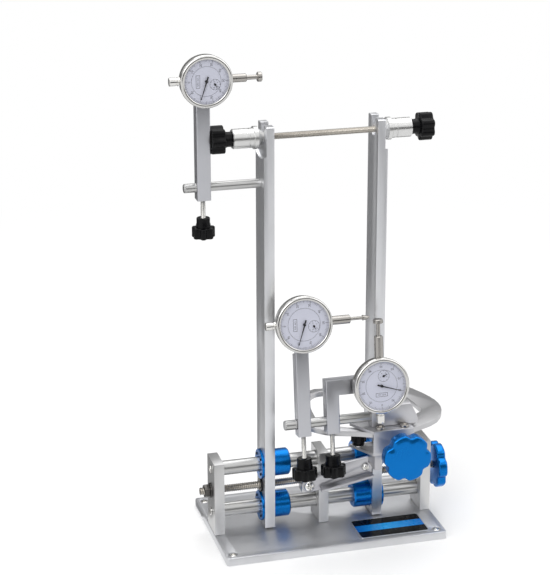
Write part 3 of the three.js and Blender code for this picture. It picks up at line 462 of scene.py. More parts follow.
class Bench:
    """Models pieces with Blender's own operators and sets them in the frame."""

    @staticmethod
    def clear() -> None:
        """Leaves nothing selected."""
        bpy.ops.object.select_all(action="DESELECT")

    @staticmethod
    def only(piece: bpy.types.Object) -> None:
        """Selects one piece alone and makes it the active one.

        Args:
            piece: The piece.
        """
        Bench.clear()
        piece.select_set(True)
        bpy.context.view_layer.objects.active = piece

    @staticmethod
    @contextmanager
    def editing(piece: bpy.types.Object) -> Iterator[None]:
        """Holds a piece open in edit mode.

        Args:
            piece: The piece to shape.
        """
        Bench.only(piece)
        bpy.ops.object.mode_set(mode="EDIT")
        yield
        bpy.ops.object.mode_set(mode="OBJECT")

    @staticmethod
    def pick(piece: bpy.types.Object, kind: Select, test: Callable[[object], bool]) -> None:
        """Selects in edit mode what passes a test.

        Args:
            piece: The piece that is open.
            kind: Vertices, edges or faces.
            test: Says of each one if it is picked.
        """
        bpy.ops.mesh.select_all(action="DESELECT")
        bpy.ops.mesh.select_mode(type=kind.value)
        shape = bmesh.from_edit_mesh(piece.data)
        lists = {Select.VERTICES: shape.verts, Select.EDGES: shape.edges, Select.FACES: shape.faces}
        for item in [item for item in lists[kind] if test(item)]:
            item.select_set(True)
        bmesh.update_edit_mesh(piece.data)

    @staticmethod
    def extrude(rise: float, scale: float, height: float) -> None:
        """Pulls the selected ring or face up, then widens or narrows it about the piece's axis.

        Args:
            rise: How far it moves up.
            scale: Its new width over its old one.
            height: The height that it arrives at.
        """
        bpy.ops.mesh.extrude_region_move(TRANSFORM_OT_translate={"value": (0, 0, rise)})
        if abs(scale - 1) > 1e-6:
            bpy.ops.transform.resize(value=(scale, scale, 1), center_override=(0, 0, height))

    @staticmethod
    def tidy(piece: bpy.types.Object, threshold: float = MERGE) -> None:
        """Merges doubled vertices and points the faces outwards.

        Args:
            piece: The piece.
            threshold: Vertices closer than this are merged.
        """
        with Bench.editing(piece):
            bpy.ops.mesh.select_mode(type="VERT")
            bpy.ops.mesh.select_all(action="SELECT")
            bpy.ops.mesh.remove_doubles(threshold=threshold)
            bpy.ops.mesh.normals_make_consistent(inside=False)

    @staticmethod
    def turned(profile: Profile, sides: int = 64, ring: bool = False) -> bpy.types.Object:
        """A profile turned about the piece's height.

        Args:
            profile: Radius and height of each step.
            sides: Number of sides.
            ring: True where the profile closes on itself round a bore.

        Returns:
            The new piece.
        """
        Bench.clear()
        radius, height = profile[0]
        bpy.ops.mesh.primitive_circle_add(vertices=sides, radius=radius, location=(0, 0, height),
                                          fill_type="NOTHING" if ring else "NGON")
        piece = bpy.context.object
        bpy.ops.object.transform_apply(location=True, rotation=True, scale=True)
        steps = [*profile[1:], profile[0]] if ring else profile[1:]
        with Bench.editing(piece):
            bpy.ops.mesh.select_all(action="SELECT")
            for next_radius, next_height in steps:
                Bench.extrude(next_height - height, next_radius / radius, next_height)
                radius, height = next_radius, next_height
        Bench.tidy(piece)
        return piece

    @staticmethod
    def lobed(radius: float, notch: float, lobes: int, height: float, edge: float,
              sharpness: float, turn: float = 0.0, steps: int = 16) -> bpy.types.Object:
        """A knob's body: a disc with evenly spaced notches and rounded rims.

        Args:
            radius: Reach of the lobes.
            notch: Depth of the notches.
            lobes: Number of lobes.
            height: Thickness of the body.
            edge: Radius of its rims.
            sharpness: How narrow the notches are.
            turn: Turn of the pattern in radians.
            steps: Number of sides in each lobe.

        Returns:
            The new piece.
        """
        Bench.clear()
        count = lobes * steps
        bpy.ops.mesh.primitive_circle_add(vertices=count, radius=radius, fill_type="NGON")
        piece = bpy.context.object
        with Bench.editing(piece):
            for step in range(1, steps):
                reach = 1 - notch / radius * ((1 - math.cos(2 * math.pi * step / steps)) / 2) ** sharpness
                Bench.pick(piece, Select.VERTICES,
                           lambda v, s=step: round(math.atan2(v.co.x, v.co.y) % (2 * math.pi)
                                                   / (2 * math.pi / count)) % steps == s)
                bpy.ops.transform.resize(value=(reach, reach, 1), center_override=(0, 0, 0))
            bpy.ops.mesh.select_all(action="SELECT")
            Bench.extrude(height, 1, height)
            Bench.pick(piece, Select.EDGES,
                       lambda e: abs(e.verts[0].co.z - e.verts[1].co.z) < 1e-4)
            bpy.ops.mesh.bevel(offset=edge, segments=4, profile=0.5, affect="EDGES", clamp_overlap=True)
        piece.matrix_world = Matrix.Rotation(turn - math.pi / 2, 4, "Z")
        bpy.ops.object.transform_apply(location=True, rotation=True, scale=True)
        Bench.tidy(piece)
        return piece

    @staticmethod
    def box(low: Sequence[float], high: Sequence[float]) -> bpy.types.Object:
        """A block between two corners, to be bevelled or cut further.

        Args:
            low: The lower corner.
            high: The upper corner.

        Returns:
            The new piece.
        """
        Bench.clear()
        middle = [(a + b) / 2 for a, b in zip(low, high)]
        bpy.ops.mesh.primitive_cube_add(size=1, location=middle)
        piece = bpy.context.object
        piece.scale = [b - a for a, b in zip(low, high)]
        bpy.ops.object.transform_apply(location=True, rotation=True, scale=True)
        return piece

    @staticmethod
    def copy_of(node: str) -> bpy.types.Object:
        """A merged copy of a CAD node, in millimetres.

        Args:
            node: The node's name.

        Returns:
            The copy, ready to be bevelled.
        """
        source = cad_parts[node]
        piece = bpy.data.objects.new(f"{node}_copy", source.data.copy())
        bpy.context.scene.collection.objects.link(piece)
        piece.data.materials.clear()
        piece.matrix_world = Matrix.Scale(1 / MM, 4)
        Bench.only(piece)
        bpy.ops.object.transform_apply(location=True, rotation=True, scale=True)
        with Bench.editing(piece):
            bpy.ops.mesh.select_all(action="SELECT")
            bpy.ops.mesh.customdata_custom_splitnormals_clear()
            bpy.ops.mesh.remove_doubles(threshold=MERGE)
            bpy.ops.mesh.dissolve_limited(angle_limit=FLAT)
        return piece

    @staticmethod
    def apply(piece: bpy.types.Object, kind: str, **values: object) -> None:
        """Adds a modifier and applies it.

        Args:
            piece: The piece.
            kind: The modifier's type.
            **values: Its settings.
        """
        modifier = piece.modifiers.new(kind.lower(), kind)
        for key, value in values.items():
            setattr(modifier, key, value)
        Bench.only(piece)
        bpy.ops.object.modifier_apply(modifier=modifier.name)

    @staticmethod
    def bevel(piece: bpy.types.Object, width: float, angle: float = 35, segments: int = 2) -> None:
        """Rounds every edge that is sharper than an angle in degrees."""
        Bench.apply(piece, "BEVEL", width=width, segments=segments, limit_method="ANGLE",
                    angle_limit=math.radians(angle), use_clamp_overlap=True, harden_normals=False)

    @staticmethod
    def cut(piece: bpy.types.Object, cutter: bpy.types.Object) -> None:
        """Takes one piece out of another and removes the cutter."""
        Bench.apply(piece, "BOOLEAN", operation="DIFFERENCE", object=cutter, solver="EXACT")
        bpy.data.objects.remove(cutter)

    @staticmethod
    def join(pieces: Sequence[bpy.types.Object]) -> bpy.types.Object:
        """Joins several meshes in one object.

        Args:
            pieces: The meshes.

        Returns:
            The joined piece.
        """
        Bench.clear()
        for piece in pieces:
            piece.select_set(True)
        bpy.context.view_layer.objects.active = pieces[0]
        bpy.ops.object.join()
        return bpy.context.object

    @staticmethod
    def move(piece: bpy.types.Object, placement: Matrix) -> bpy.types.Object:
        """Puts a placement into a piece's mesh.

        Args:
            piece: The piece.
            placement: The placement.

        Returns:
            The same piece.
        """
        Bench.only(piece)
        piece.matrix_world = placement
        bpy.ops.object.transform_apply(location=True, rotation=True, scale=True)
        return piece

    @staticmethod
    def lift(piece: bpy.types.Object, height: float) -> bpy.types.Object:
        """Raises a piece's mesh by a height."""
        return Bench.move(piece, Matrix.Translation((0, 0, height)))

    @staticmethod
    def pick_top(piece: bpy.types.Object, top: float) -> None:
        """Selects the large face at the upper end of a piece that is being edited."""
        Bench.pick(piece, Select.FACES, lambda f: f.normal.z > 0.99 and f.calc_area() > 50
                   and f.calc_center_median().z > top - 0.1)

    @staticmethod
    def washer(bore: float, radius: float, height: float, edge: float) -> bpy.types.Object:
        """A flat ring with broken outer edges, standing at height 0."""
        return Bench.turned([(bore, 0), (radius - edge, 0), (radius, edge), (radius, height - edge),
                             (radius - edge, height), (bore, height)], 48, ring=True)

    @staticmethod
    def copy(piece: bpy.types.Object) -> bpy.types.Object:
        """A copy of a piece with its own mesh.

        Args:
            piece: The piece.

        Returns:
            The copy.
        """
        made = bpy.data.objects.new(piece.name, piece.data.copy())
        bpy.context.scene.collection.objects.link(made)
        return made

    @staticmethod
    def set_in(piece: bpy.types.Object, name: str, body: str, finish: Finish,
               placement: Optional[Matrix] = None, smooth: float = 35,
               replaces: Sequence[str] = ()) -> None:
        """Finishes a piece: place, shading, finish, body and the nodes that it stands for.

        Args:
            piece: The piece, in millimetres.
            name: Its name.
            body: The CAD body that it rides on.
            finish: Its finish.
            placement: Where it goes, in millimetres.
            smooth: Edges flatter than this angle in degrees are shaded smooth.
            replaces: CAD nodes that it stands for.
        """
        piece.name = name
        piece.data.name = name
        Bench.move(piece, Matrix.Scale(MM, 4) @ (placement or Matrix.Identity(4)))
        bpy.ops.object.shade_smooth_by_angle(angle=math.radians(smooth))
        piece.data.materials.clear()
        piece.data.materials.append(finish.material())
        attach(piece, body)
        getattr(finish, "slot", None)
        if replaces:
            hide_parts(*replaces)
        LOG.info("%s: %d faces on %s", name, len(piece.data.polygons), body)

    @staticmethod
    def stand_for(node: str, piece: bpy.types.Object, body: str, finish: Finish,
                  placement: Optional[Matrix] = None, smooth: float = 35) -> None:
        """Finishes a piece that stands for one CAD node and is named after it."""
        Bench.set_in(piece, f"{node}_body", body, finish, placement, smooth, [node])

    @staticmethod
    def edged(node: str, body: str, finish: Finish, width: float, angle: float = 35) -> None:
        """Copies a CAD node as a piece, breaks its edges and finishes it.

        Args:
            node: The CAD node.
            body: The CAD body that it rides on.
            finish: Its finish.
            width: Width of the broken edges.
            angle: Edges sharper than this angle in degrees are broken.
        """
        piece = Bench.copy_of(node)
        Bench.bevel(piece, width, angle)
        Bench.stand_for(node, piece, body, finish, smooth=25)


@dataclass
class Screws:
    """Small fasteners, each modelled once and copied."""

    sides: int = 24
    made: dict[tuple, bpy.types.Object] = field(default_factory=dict)

    def socket_head(self, radius: float, height: float, socket: float, rounding: float) -> bpy.types.Object:
        """A round head with a hexagon socket, standing on its underside.

        Args:
            radius: The head's radius.
            height: The head's height.
            socket: Radius of the socket's corners.
            rounding: Radius of the head's upper rim.

        Returns:
            A new copy of the head.
        """
        key = (radius, height, socket, rounding)
        if key not in self.made:
            steps = [(radius * 0.97, 0), (radius, height * 0.08), (radius, height - rounding)]
            for i in range(1, 5):
                turn = math.pi / 2 * i / 4
                steps.append((radius - rounding * (1 - math.cos(turn)),
                              height - rounding * (1 - math.sin(turn))))
            head = Bench.turned(steps, self.sides)
            hexagon = Bench.turned([(socket, height * 0.45), (socket, height + 1)], 6)
            Bench.cut(head, hexagon)
            self.made[key] = head
        return Bench.copy(self.made[key])

    def cross_head(self, radius: float, height: float) -> bpy.types.Object:
        """A domed head with a crossed recess, standing on its underside.

        Args:
            radius: The head's radius.
            height: The head's height.

        Returns:
            A new copy of the head.
        """
        key = (radius, height)
        if key not in self.made:
            steps = [(radius, 0), (radius, height * 0.3)]
            for i in range(1, 6):
                turn = math.pi / 2 * i / 6
                steps.append((radius * math.cos(turn), height * (0.3 + 0.7 * math.sin(turn))))
            head = Bench.turned(steps, self.sides)
            arm, half = radius * 0.55, radius * 0.12
            for low, high in (((-arm, -half), (arm, half)), ((-half, -arm), (half, arm))):
                Bench.cut(head, Bench.box((*low, height * 0.5), (*high, height + 1)))
            self.made[key] = head
        return Bench.copy(self.made[key])

    def discard(self) -> None:
        """Removes the models that the copies were made from."""
        for head in self.made.values():
            bpy.data.objects.remove(head)
        self.made.clear()


@dataclass
class Base:
    """The base plate with its nameplate, corner screws and the three rod blocks."""

    finishes: Finishes
    screws: Screws
    top: float = 8.0
    sink_x: float = 108.0
    sink_y: float = 63.6
    sink_depth: float = 2.8
    corner_screw: tuple = (3.7, 2.6, 2.0, 0.9)
    edge: float = 0.5
    plate_low: tuple = (26.3, -66.2, 8.3)
    plate_high: tuple = (100.0, -25.3, 9.1)
    plate_corner: float = 3.0
    plate_border: float = 0.9
    field_step: tuple = (0.05, -0.08)

    def build(self) -> None:
        """Builds every piece that rides on the base."""
        Bench.edged("base_plate", "stand", self.finishes.plate, self.edge)
        self._corner_screws()
        self._nameplate()
        for word in ("left", "middle", "right"):
            Bench.edged(f"{word}_block", "stand", self.finishes.block, self.edge)

    def _corner_screws(self) -> None:
        """A socket screw in each corner's sink."""
        for i, (x, y) in enumerate(((-1, -1), (1, -1), (1, 1), (-1, 1))):
            head = self.screws.socket_head(*self.corner_screw)
            Bench.set_in(head, f"base_screw_{i + 1}", "stand", self.finishes.bright,
                         Toward.UP.place((x * self.sink_x, y * self.sink_y, self.top - self.sink_depth)))

    def _nameplate(self) -> None:
        """The nameplate: a pale plate with a slightly sunk, printed field."""
        plate = Bench.box(self.plate_low, self.plate_high)
        with Bench.editing(plate):
            Bench.pick(plate, Select.EDGES,
                       lambda e: abs(e.verts[0].co.z - e.verts[1].co.z) > 0.1)
            bpy.ops.mesh.bevel(offset=self.plate_corner, segments=6, profile=0.5, affect="EDGES")
            Bench.pick(plate, Select.FACES, lambda f: f.normal.z > 0.9)
            bpy.ops.mesh.inset(thickness=self.plate_border)
            bpy.ops.mesh.inset(thickness=self.field_step[0], depth=self.field_step[1])
        plate.data.materials.clear()
        Bench.stand_for("nameplate", plate, "stand", self.finishes.border)
        plate.data.materials.append(BandedPlate().material())
        for face in plate.data.polygons:
            if face.normal.z > 0.9 and face.area > 0.001:
                face.material_index = 1


@dataclass
class Drive:
    """The guide rods, the lead screw, its nut and its lobed knob."""

    finishes: Finishes
    screws: Screws
    rod_radius: float = 7.5
    rod_half: float = 112.7
    rod_edge: float = 0.6
    rod_screw: tuple = (4.4, 1.0, 2.2, 0.3)
    face: float = 116.5
    nut_bore: float = 4.3
    nut: tuple = (7.2, 7.2)
    nut_edge: float = 0.35
    washer: tuple = (7.8, 1.4, 0.2)
    thread_crest: float = 4.0
    thread_root: float = 3.25
    thread_pitch: float = 2.0
    screw_left: float = -128.0
    screw_right: float = 129.0
    knob: tuple = (24.5, 3.4, 9.5, 9.0, 7.0)

    def build(self) -> None:
        """Builds every piece of the drive."""
        for level, z in ROD_LEVELS:
            self._guide_rod(f"{level}_guide_rod", z)
        self._lead_screw()
        self._nut()
        self._knob()

    def _guide_rod(self, name: str, z: float) -> None:
        """A ground rod and the screws at its two ends.

        Args:
            name: The CAD node.
            z: Height of its axis.
        """
        half, radius, edge = self.rod_half, self.rod_radius, self.rod_edge
        rod = Bench.turned([(radius - edge, -half), (radius, edge - half), (radius, half - edge),
                            (radius - edge, half)], 72)
        Bench.stand_for(name, rod, "stand", self.finishes.rod, Toward.RIGHT.place((0, COLUMN_Y, z)))
        for word, side in (("left", Toward.LEFT), ("right", Toward.RIGHT)):
            head = self.screws.socket_head(*self.rod_screw)
            at = (side.value[2][0] * self.face, COLUMN_Y, z)
            Bench.set_in(head, f"{name}_{word}_screw", "stand", self.finishes.bright, side.place(at))

    def _lead_screw(self) -> None:
        """The threaded lead screw, cut flat at both ends."""
        screw = Thread(self.thread_root, self.thread_crest, self.thread_pitch,
                       self.screw_right - self.screw_left).build()
        Bench.set_in(screw, "lead_screw_thread", "lead_drive", self.finishes.thread,
                     Toward.RIGHT.place((self.screw_left, COLUMN_Y, SCREW_Z)), smooth=25,
                     replaces=["lead_screw"])

    def _nut(self) -> None:
        """The washer and the domed-cornered hex nut on the left block."""
        washer = Bench.washer(self.nut_bore, *self.washer)
        (radius, top), low = self.nut, self.washer[1]
        nut = Bench.turned([(self.nut_bore, low), (radius, low), (radius, top), (self.nut_bore, top)], 6,
                           ring=True)
        Bench.bevel(nut, self.nut_edge)
        Bench.stand_for("lead_screw_nut", Bench.join([nut, washer]), "lead_drive", self.finishes.steel,
                        Toward.LEFT.place((-self.face, COLUMN_Y, SCREW_Z)))

    def _knob(self) -> None:
        """The blue lobed knob with its neck and a sunk centre on its outer face."""
        knob = LobedKnob(*self.knob, bore=self.nut_bore).build()
        Bench.stand_for("lead_screw_knob", knob, "lead_drive", self.finishes.blue,
                        Toward.RIGHT.place((self.face, COLUMN_Y, SCREW_Z)))


@dataclass
class Thread:
    """A threaded rod that rises from its lower end."""

    root: float
    crest: float
    pitch: float
    length: float
    sides: int = 20

    def build(self) -> bpy.types.Object:
        """Winds a ridge round the rod and cuts both ends flat.

        Returns:
            The new piece, from height 0 to its length.
        """
        Bench.clear()
        bpy.ops.mesh.primitive_plane_add(size=1)
        ridge = bpy.context.object
        half = self.pitch / 2
        with Bench.editing(ridge):
            Bench.pick(ridge, Select.VERTICES, lambda v: v.co.x < 0 and v.co.y < 0)
            bpy.ops.mesh.delete(type="VERT")
            for mark, place in (((-1, 1), (self.root, 0, -half)), ((1, 1), (self.crest, 0, 0)),
                                ((1, -1), (self.root, 0, half))):
                Bench.pick(ridge, Select.VERTICES,
                           lambda v, m=mark: v.co.z == 0 and abs(v.co.x) == 0.5 and abs(v.co.y) == 0.5
                           and v.co.x * m[0] > 0 and v.co.y * m[1] > 0)
                start = Vector((mark[0] * 0.5, mark[1] * 0.5, 0))
                bpy.ops.transform.translate(value=Vector(place) - start)
        turns = math.ceil(self.length / self.pitch) + 3
        Bench.lift(ridge, -1.5 * self.pitch)
        Bench.apply(ridge, "SCREW", axis="Z", angle=2 * math.pi, screw_offset=self.pitch,
                    iterations=turns, steps=self.sides, render_steps=self.sides, use_merge_vertices=True,
                    merge_threshold=0.001, use_smooth_shade=True)
        with Bench.editing(ridge):
            for height, keep_above in ((0.0, True), (self.length, False)):
                bpy.ops.mesh.select_mode(type="VERT")
                bpy.ops.mesh.select_all(action="SELECT")
                bpy.ops.mesh.bisect(plane_co=(0, 0, height), plane_no=(0, 0, 1), use_fill=True,
                                    clear_inner=keep_above, clear_outer=not keep_above)
        Bench.tidy(ridge)
        return ridge


@dataclass
class LobedKnob:
    """A six-lobed knob that stands on its neck."""

    radius: float
    notch: float
    thickness: float
    neck_radius: float
    neck_length: float
    bore: float = 0.0
    lobes: int = 6
    edge: float = 1.9
    sharpness: float = 4.2
    turn: float = math.radians(51)
    dome: float = 0.0
    dome_steps: tuple = ((0.4, 0.93), (0.3, 0.88), (0.2, 0.8), (0.1, 0.6))
    rim: float = 2.2
    sunk: tuple = (0.5, 0.5)

    def build(self) -> bpy.types.Object:
        """Models the neck and the lobed body.

        Returns:
            The new piece, with its neck's end at height 0.
        """
        body = Bench.lobed(self.radius, self.notch, self.lobes, self.thickness, self.edge,
                           self.sharpness, self.turn)
        Bench.lift(body, self.neck_length)
        top = self.neck_length + self.thickness
        with Bench.editing(body):
            Bench.pick_top(body, top)
            if self.dome:
                height = top
                for share, scale in self.dome_steps:
                    height += share * self.dome
                    Bench.extrude(share * self.dome, scale, height)
            else:
                bpy.ops.mesh.inset(thickness=self.rim)
                bpy.ops.mesh.inset(thickness=self.sunk[0], depth=-self.sunk[1])
        inner = self.bore if self.bore else self.neck_radius * 0.4
        neck = Bench.turned([(inner, 0.0), (self.neck_radius - 0.5, 0.0), (self.neck_radius, 0.5),
                             (self.neck_radius, self.neck_length + 1), (inner, self.neck_length + 1)], 48,
                            ring=True)
        return Bench.join([body, neck])


@dataclass
class StarKnob:
    """A moulded knob with a round neck and a seven-lobed head."""

    neck_radius: float
    neck_length: float
    star_radius: float
    star_length: float
    lobes: int = 7
    notch: float = 2.4
    edge: float = 1.3
    sharpness: float = 1.4
    rim: float = 1.4
    sunk: tuple = (0.3, 0.6)

    def build(self) -> bpy.types.Object:
        """Models the neck, the lobed head and its sunk end.

        Returns:
            The new piece, with its neck's end at height 0.
        """
        head = Bench.lobed(self.star_radius, self.notch, self.lobes, self.star_length, self.edge,
                           self.sharpness, steps=14)
        Bench.lift(head, self.neck_length)
        top = self.neck_length + self.star_length
        with Bench.editing(head):
            Bench.pick_top(head, top)
            bpy.ops.mesh.inset(thickness=self.rim)
            bpy.ops.mesh.inset(thickness=self.sunk[0], depth=-self.sunk[1])
        neck_top = self.neck_radius * 0.92
        neck = Bench.turned([(neck_top - 0.4, 0), (neck_top, 0.4), (neck_top, self.neck_length * 0.55),
                             (self.neck_radius, self.neck_length * 0.75),
                             (self.neck_radius, self.neck_length + 1)], 48)
        return Bench.join([head, neck])


@dataclass
class Column:
    """One upright with its bushes, lead nut, axle clamp and axle knob."""

    word: str
    side: int
    finishes: Finishes
    screws: Screws
    x: float = 57.8
    half: float = 5.25
    edge: float = 0.45
    gap: float = 0.3
    bush_radius: float = 14.0
    bush_bore: float = 7.8
    flange_radius: float = 15.7
    flange: float = 2.2
    bush_reach: float = 18.0
    bush_screw: tuple = (1.45, 0.9, 0.7, 0.2)
    bush_screw_ring: float = 11.6
    lead_nut: tuple = (4.3, 7.3, 6.2, 1.5)
    cone_start: float = 58.4
    cone: tuple = (4.4, 10.0, 7.3)
    collar: tuple = (11.25, 4.5)
    sleeve: tuple = (9.75, 21.0)
    axle_bore: float = 3.55
    knob: tuple = (8.0, 7.7, 14.25, 13.6)

    @property
    def outward(self) -> Toward:
        """The direction away from the middle."""
        return Toward.RIGHT if self.side > 0 else Toward.LEFT

    @property
    def inward(self) -> Toward:
        """The direction to the middle."""
        return Toward.LEFT if self.side > 0 else Toward.RIGHT

    @property
    def body(self) -> str:
        """The CAD body that slides."""
        return f"{self.word}_column"

    def build(self) -> None:
        """Builds every piece of the column."""
        Bench.edged(f"{self.word}_upright", self.body, self.finishes.upright, self.edge)
        for level, z in ROD_LEVELS:
            self._bush(level, z)
        self._lead_nut()
        self._axle_clamp()
        self._axle_knob()

    def _outside(self, rise: float, z: float) -> tuple[float, float, float]:
        """A place above the upright's outer face, at a height."""
        return (self.side * (self.x + self.half + self.gap + rise), COLUMN_Y, z)

    def _bush(self, level: str, z: float) -> None:
        """A blue flanged bush with four small screws in its flange.

        Args:
            level: The word for its rod, lower or upper.
            z: Height of its axis.
        """
        bore, end = self.bush_bore, self.flange + self.gap + 2 * self.half + self.bush_reach
        r, f, t = self.bush_radius, self.flange_radius, self.flange
        bush = Bench.turned([(bore + 0.6, 0), (f - 0.4, 0), (f, 0.4), (f, t), (r, t), (r, end - 1.5),
                             (r - 1.5, end), (bore + 0.6, end), (bore, end - 0.6), (bore, 0.6)], 72,
                            ring=True)
        at = self._outside(t, z)
        Bench.stand_for(f"{self.word}_{level}_bush", bush, self.body, self.finishes.blue,
                        self.inward.place(at), smooth=30)
        for i, (y, rise) in enumerate(around(self.bush_screw_ring, 4, math.pi / 4)):
            head = self.screws.socket_head(*self.bush_screw)
            spot = (at[0], at[1] + y, z + rise)
            Bench.set_in(head, f"{self.word}_{level}_bush_screw_{i + 1}", self.body,
                         self.finishes.black_steel, self.outward.place(spot))

    def _lead_nut(self) -> None:
        """The dark flanged nut that follows the lead screw."""
        bore, wide, narrow, flange = self.lead_nut
        end = flange + self.gap + 2 * self.half
        nut = Bench.turned([(bore, 0), (wide - 0.3, 0), (wide, 0.3), (wide, flange), (narrow, flange),
                            (narrow, end - 0.3), (narrow - 0.3, end), (bore, end)], 48, ring=True)
        Bench.stand_for(f"{self.word}_lead_nut", nut, self.body, self.finishes.black_steel,
                        self.inward.place(self._outside(flange, SCREW_Z)))

    def _axle_clamp(self) -> None:
        """The turned cone, collar and sleeve that hold the axle rod."""
        tip, base, cone = self.cone
        wide, collar = self.collar
        narrow, sleeve = self.sleeve
        first, last = cone + collar, cone + collar + sleeve
        b = self.axle_bore
        clamp = Bench.turned([(b, 0), (tip - 0.3, 0), (tip, 0.3), (base, cone), (wide - 0.4, cone),
                              (wide, cone + 0.4), (wide, first - 0.4), (wide - 0.4, first),
                              (narrow, first), (narrow, first + 4), (narrow - 0.35, first + 4.3),
                              (narrow - 0.35, first + 5.1), (narrow, first + 5.4), (narrow, last - 0.8),
                              (narrow - 0.8, last), (b, last)], 64, ring=True)
        Bench.stand_for(f"{self.word}_axle_clamp", clamp, self.body, self.finishes.turned,
                        self.outward.place((self.side * self.cone_start, COLUMN_Y, AXLE_Z)), smooth=25)

    def _axle_knob(self) -> None:
        """The black knob that tightens the axle clamp."""
        knob = StarKnob(*self.knob).build()
        start = self.cone_start + self.cone[2] + self.collar[1] + self.sleeve[1] + self.gap
        Bench.stand_for(f"{self.word}_axle_knob", knob, f"{self.word}_axle_tightener",
                        self.finishes.black, self.outward.place((self.side * start, COLUMN_Y, AXLE_Z)))


@dataclass
class Rods:
    """The axle rod, the support rod and the cross rod."""

    finishes: Finishes
    axle_half: float = 100.0
    axle_radius: float = 3.25
    support_z: float = 376.4
    support_left: float = -139.5
    support_right: float = -57.4
    cross_left: float = -48.0
    cross_right: float = 76.5
    knurl: float = 11.5

    def build(self) -> None:
        """Builds the three rods."""
        axle = Thread(self.axle_radius - 0.5, self.axle_radius, 1.25, 2 * self.axle_half, 16).build()
        Bench.set_in(axle, "axle_rod_thread", "stand", self.finishes.thread,
                     Toward.RIGHT.place((-self.axle_half, COLUMN_Y, AXLE_Z)), smooth=25,
                     replaces=["axle_rod"])
        self._knurled("gauge_support_rod", "left_column", 4.5, self.support_left,
                      self.support_right - self.support_left, (COLUMN_Y, self.support_z))
        self._knurled("cross_rod", "carriage", 5.0, self.cross_left, self.cross_right - self.cross_left,
                      (CROSS_Y, CROSS_Z))

    def _knurled(self, node: str, body: str, radius: float, left: float, length: float,
                 line: tuple[float, float]) -> None:
        """A bright rod with a diamond-knurled left end.

        Args:
            node: The CAD node that it stands for.
            body: The body that it rides on.
            radius: The rod's radius.
            left: Where it starts.
            length: Its length.
            line: The y and z of its axis.
        """
        sides, rows = 48, 14
        step = self.knurl / rows
        rings = [(radius - 0.7, 0), (radius, 0.7)]
        rings += [(radius, 0.7 + step * i) for i in range(1, rows + 1)]
        rings += [(radius - 0.35, self.knurl + 1.2), (radius - 0.35, self.knurl + 1.9),
                  (radius, self.knurl + 2.3), (radius, length - 0.5), (radius - 0.5, length)]
        rod = Bench.turned(rings, sides)
        low, high = 0.7 + step / 2, 0.7 + step * rows - step / 2
        with Bench.editing(rod):
            Bench.pick(rod, Select.VERTICES, lambda v: low < v.co.z < high and (
                round(math.atan2(v.co.y, v.co.x) / (2 * math.pi / sides))
                + round((v.co.z - 0.7) / step)) % 2 == 0)
            bpy.ops.transform.resize(value=(0.94, 0.94, 1), center_override=(0, 0, 0))
        Bench.stand_for(node, rod, body, self.finishes.rod, Toward.RIGHT.place((left, *line)), smooth=15)


@dataclass
class Carriage:
    """The swing lever, bracket, caliper arms, knobs and rod block."""

    finishes: Finishes
    screws: Screws
    arm_screw_x: tuple = (50.0, 76.0)
    arm_screw_y: float = -49.0
    bracket_top: float = 121.3
    arm_screw: tuple = (4.8, 2.2, 3.0, 0.3)
    lever_screws: tuple = (("lever_pivot_bolt", (-17.8, -24.3, 54.4), "stand", 5.5, 5.5),
                           ("lever_screw", (42.9, -24.3, 68.7), "carriage", 4.0, 4.0))
    knob: tuple = (24.8, 3.3, 12.6, 11.0, 19.7)
    knob_at: tuple = (67.2, -56.3, 102.5)
    knob_dome: float = 1.4
    small_knob_at: tuple = (33.0, -31.0, 97.8)
    small_head: tuple = (8.0, 0.7, 12, 8.6, 0.9, 1.0)
    small_head_start: float = 4.2
    small_washer: tuple = (2.2, 6.8, 0.8, 0.2)

    def build(self) -> None:
        """Builds every piece of the carriage."""
        for node, body, finish, edge in (
                ("swing_lever", "carriage", self.finishes.lever, 0.5),
                ("bracket", "carriage", self.finishes.sheet, 0.4),
                ("rod_block", "carriage", self.finishes.sheet, 0.5),
                ("left_caliper_arm", "left_arm", self.finishes.arm, 0.6),
                ("right_caliper_arm", "right_arm", self.finishes.arm, 0.6)):
            Bench.edged(node, body, finish, edge, angle=45)
        self._screws()
        self._front_knob()
        self._small_knob()

    def _screws(self) -> None:
        """The arms' socket screws and the lever's two screws."""
        for word, x in zip(("left", "right"), self.arm_screw_x):
            head = self.screws.socket_head(*self.arm_screw)
            shank = Bench.turned([(2.0, -11.0), (2.0, 0.2)], 24)
            Bench.stand_for(f"{word}_arm_screw", Bench.join([head, shank]), "carriage",
                            self.finishes.stem, Toward.UP.place((x, self.arm_screw_y, self.bracket_top)))
        for node, at, body, radius, height in self.lever_screws:
            Bench.stand_for(node, self.screws.cross_head(radius, height), body, self.finishes.bright,
                            Toward.FRONT.place(at))

    def _front_knob(self) -> None:
        """The blue lobed knob on the bracket's front."""
        knob = LobedKnob(*self.knob, dome=self.knob_dome).build()
        screw = Bench.turned([(3.5, -12.0), (3.5, 19.0)], 32)
        Bench.stand_for("front_knob", Bench.join([knob, screw]), "arm_adjuster", self.finishes.blue,
                        Toward.FRONT.place(self.knob_at))

    def _small_knob(self) -> None:
        """The small black knob: a ribbed head on a neck, over a bright washer."""
        head = Bench.lift(Bench.lobed(*self.small_head, steps=8), self.small_head_start)
        neck = Bench.turned([(5.4, 0.8), (5.8, 1.2), (5.8, 5.0)], 48)
        stud = Bench.turned([(1.8, -5.8), (1.8, 1.0)], 24)
        place = Toward.UP.place(self.small_knob_at)
        Bench.stand_for("small_knob", Bench.join([head, neck, stud]), "arm_lock", self.finishes.black,
                        place)
        Bench.set_in(Bench.washer(*self.small_washer), "small_knob_washer", "arm_lock",
                     self.finishes.bright, place)


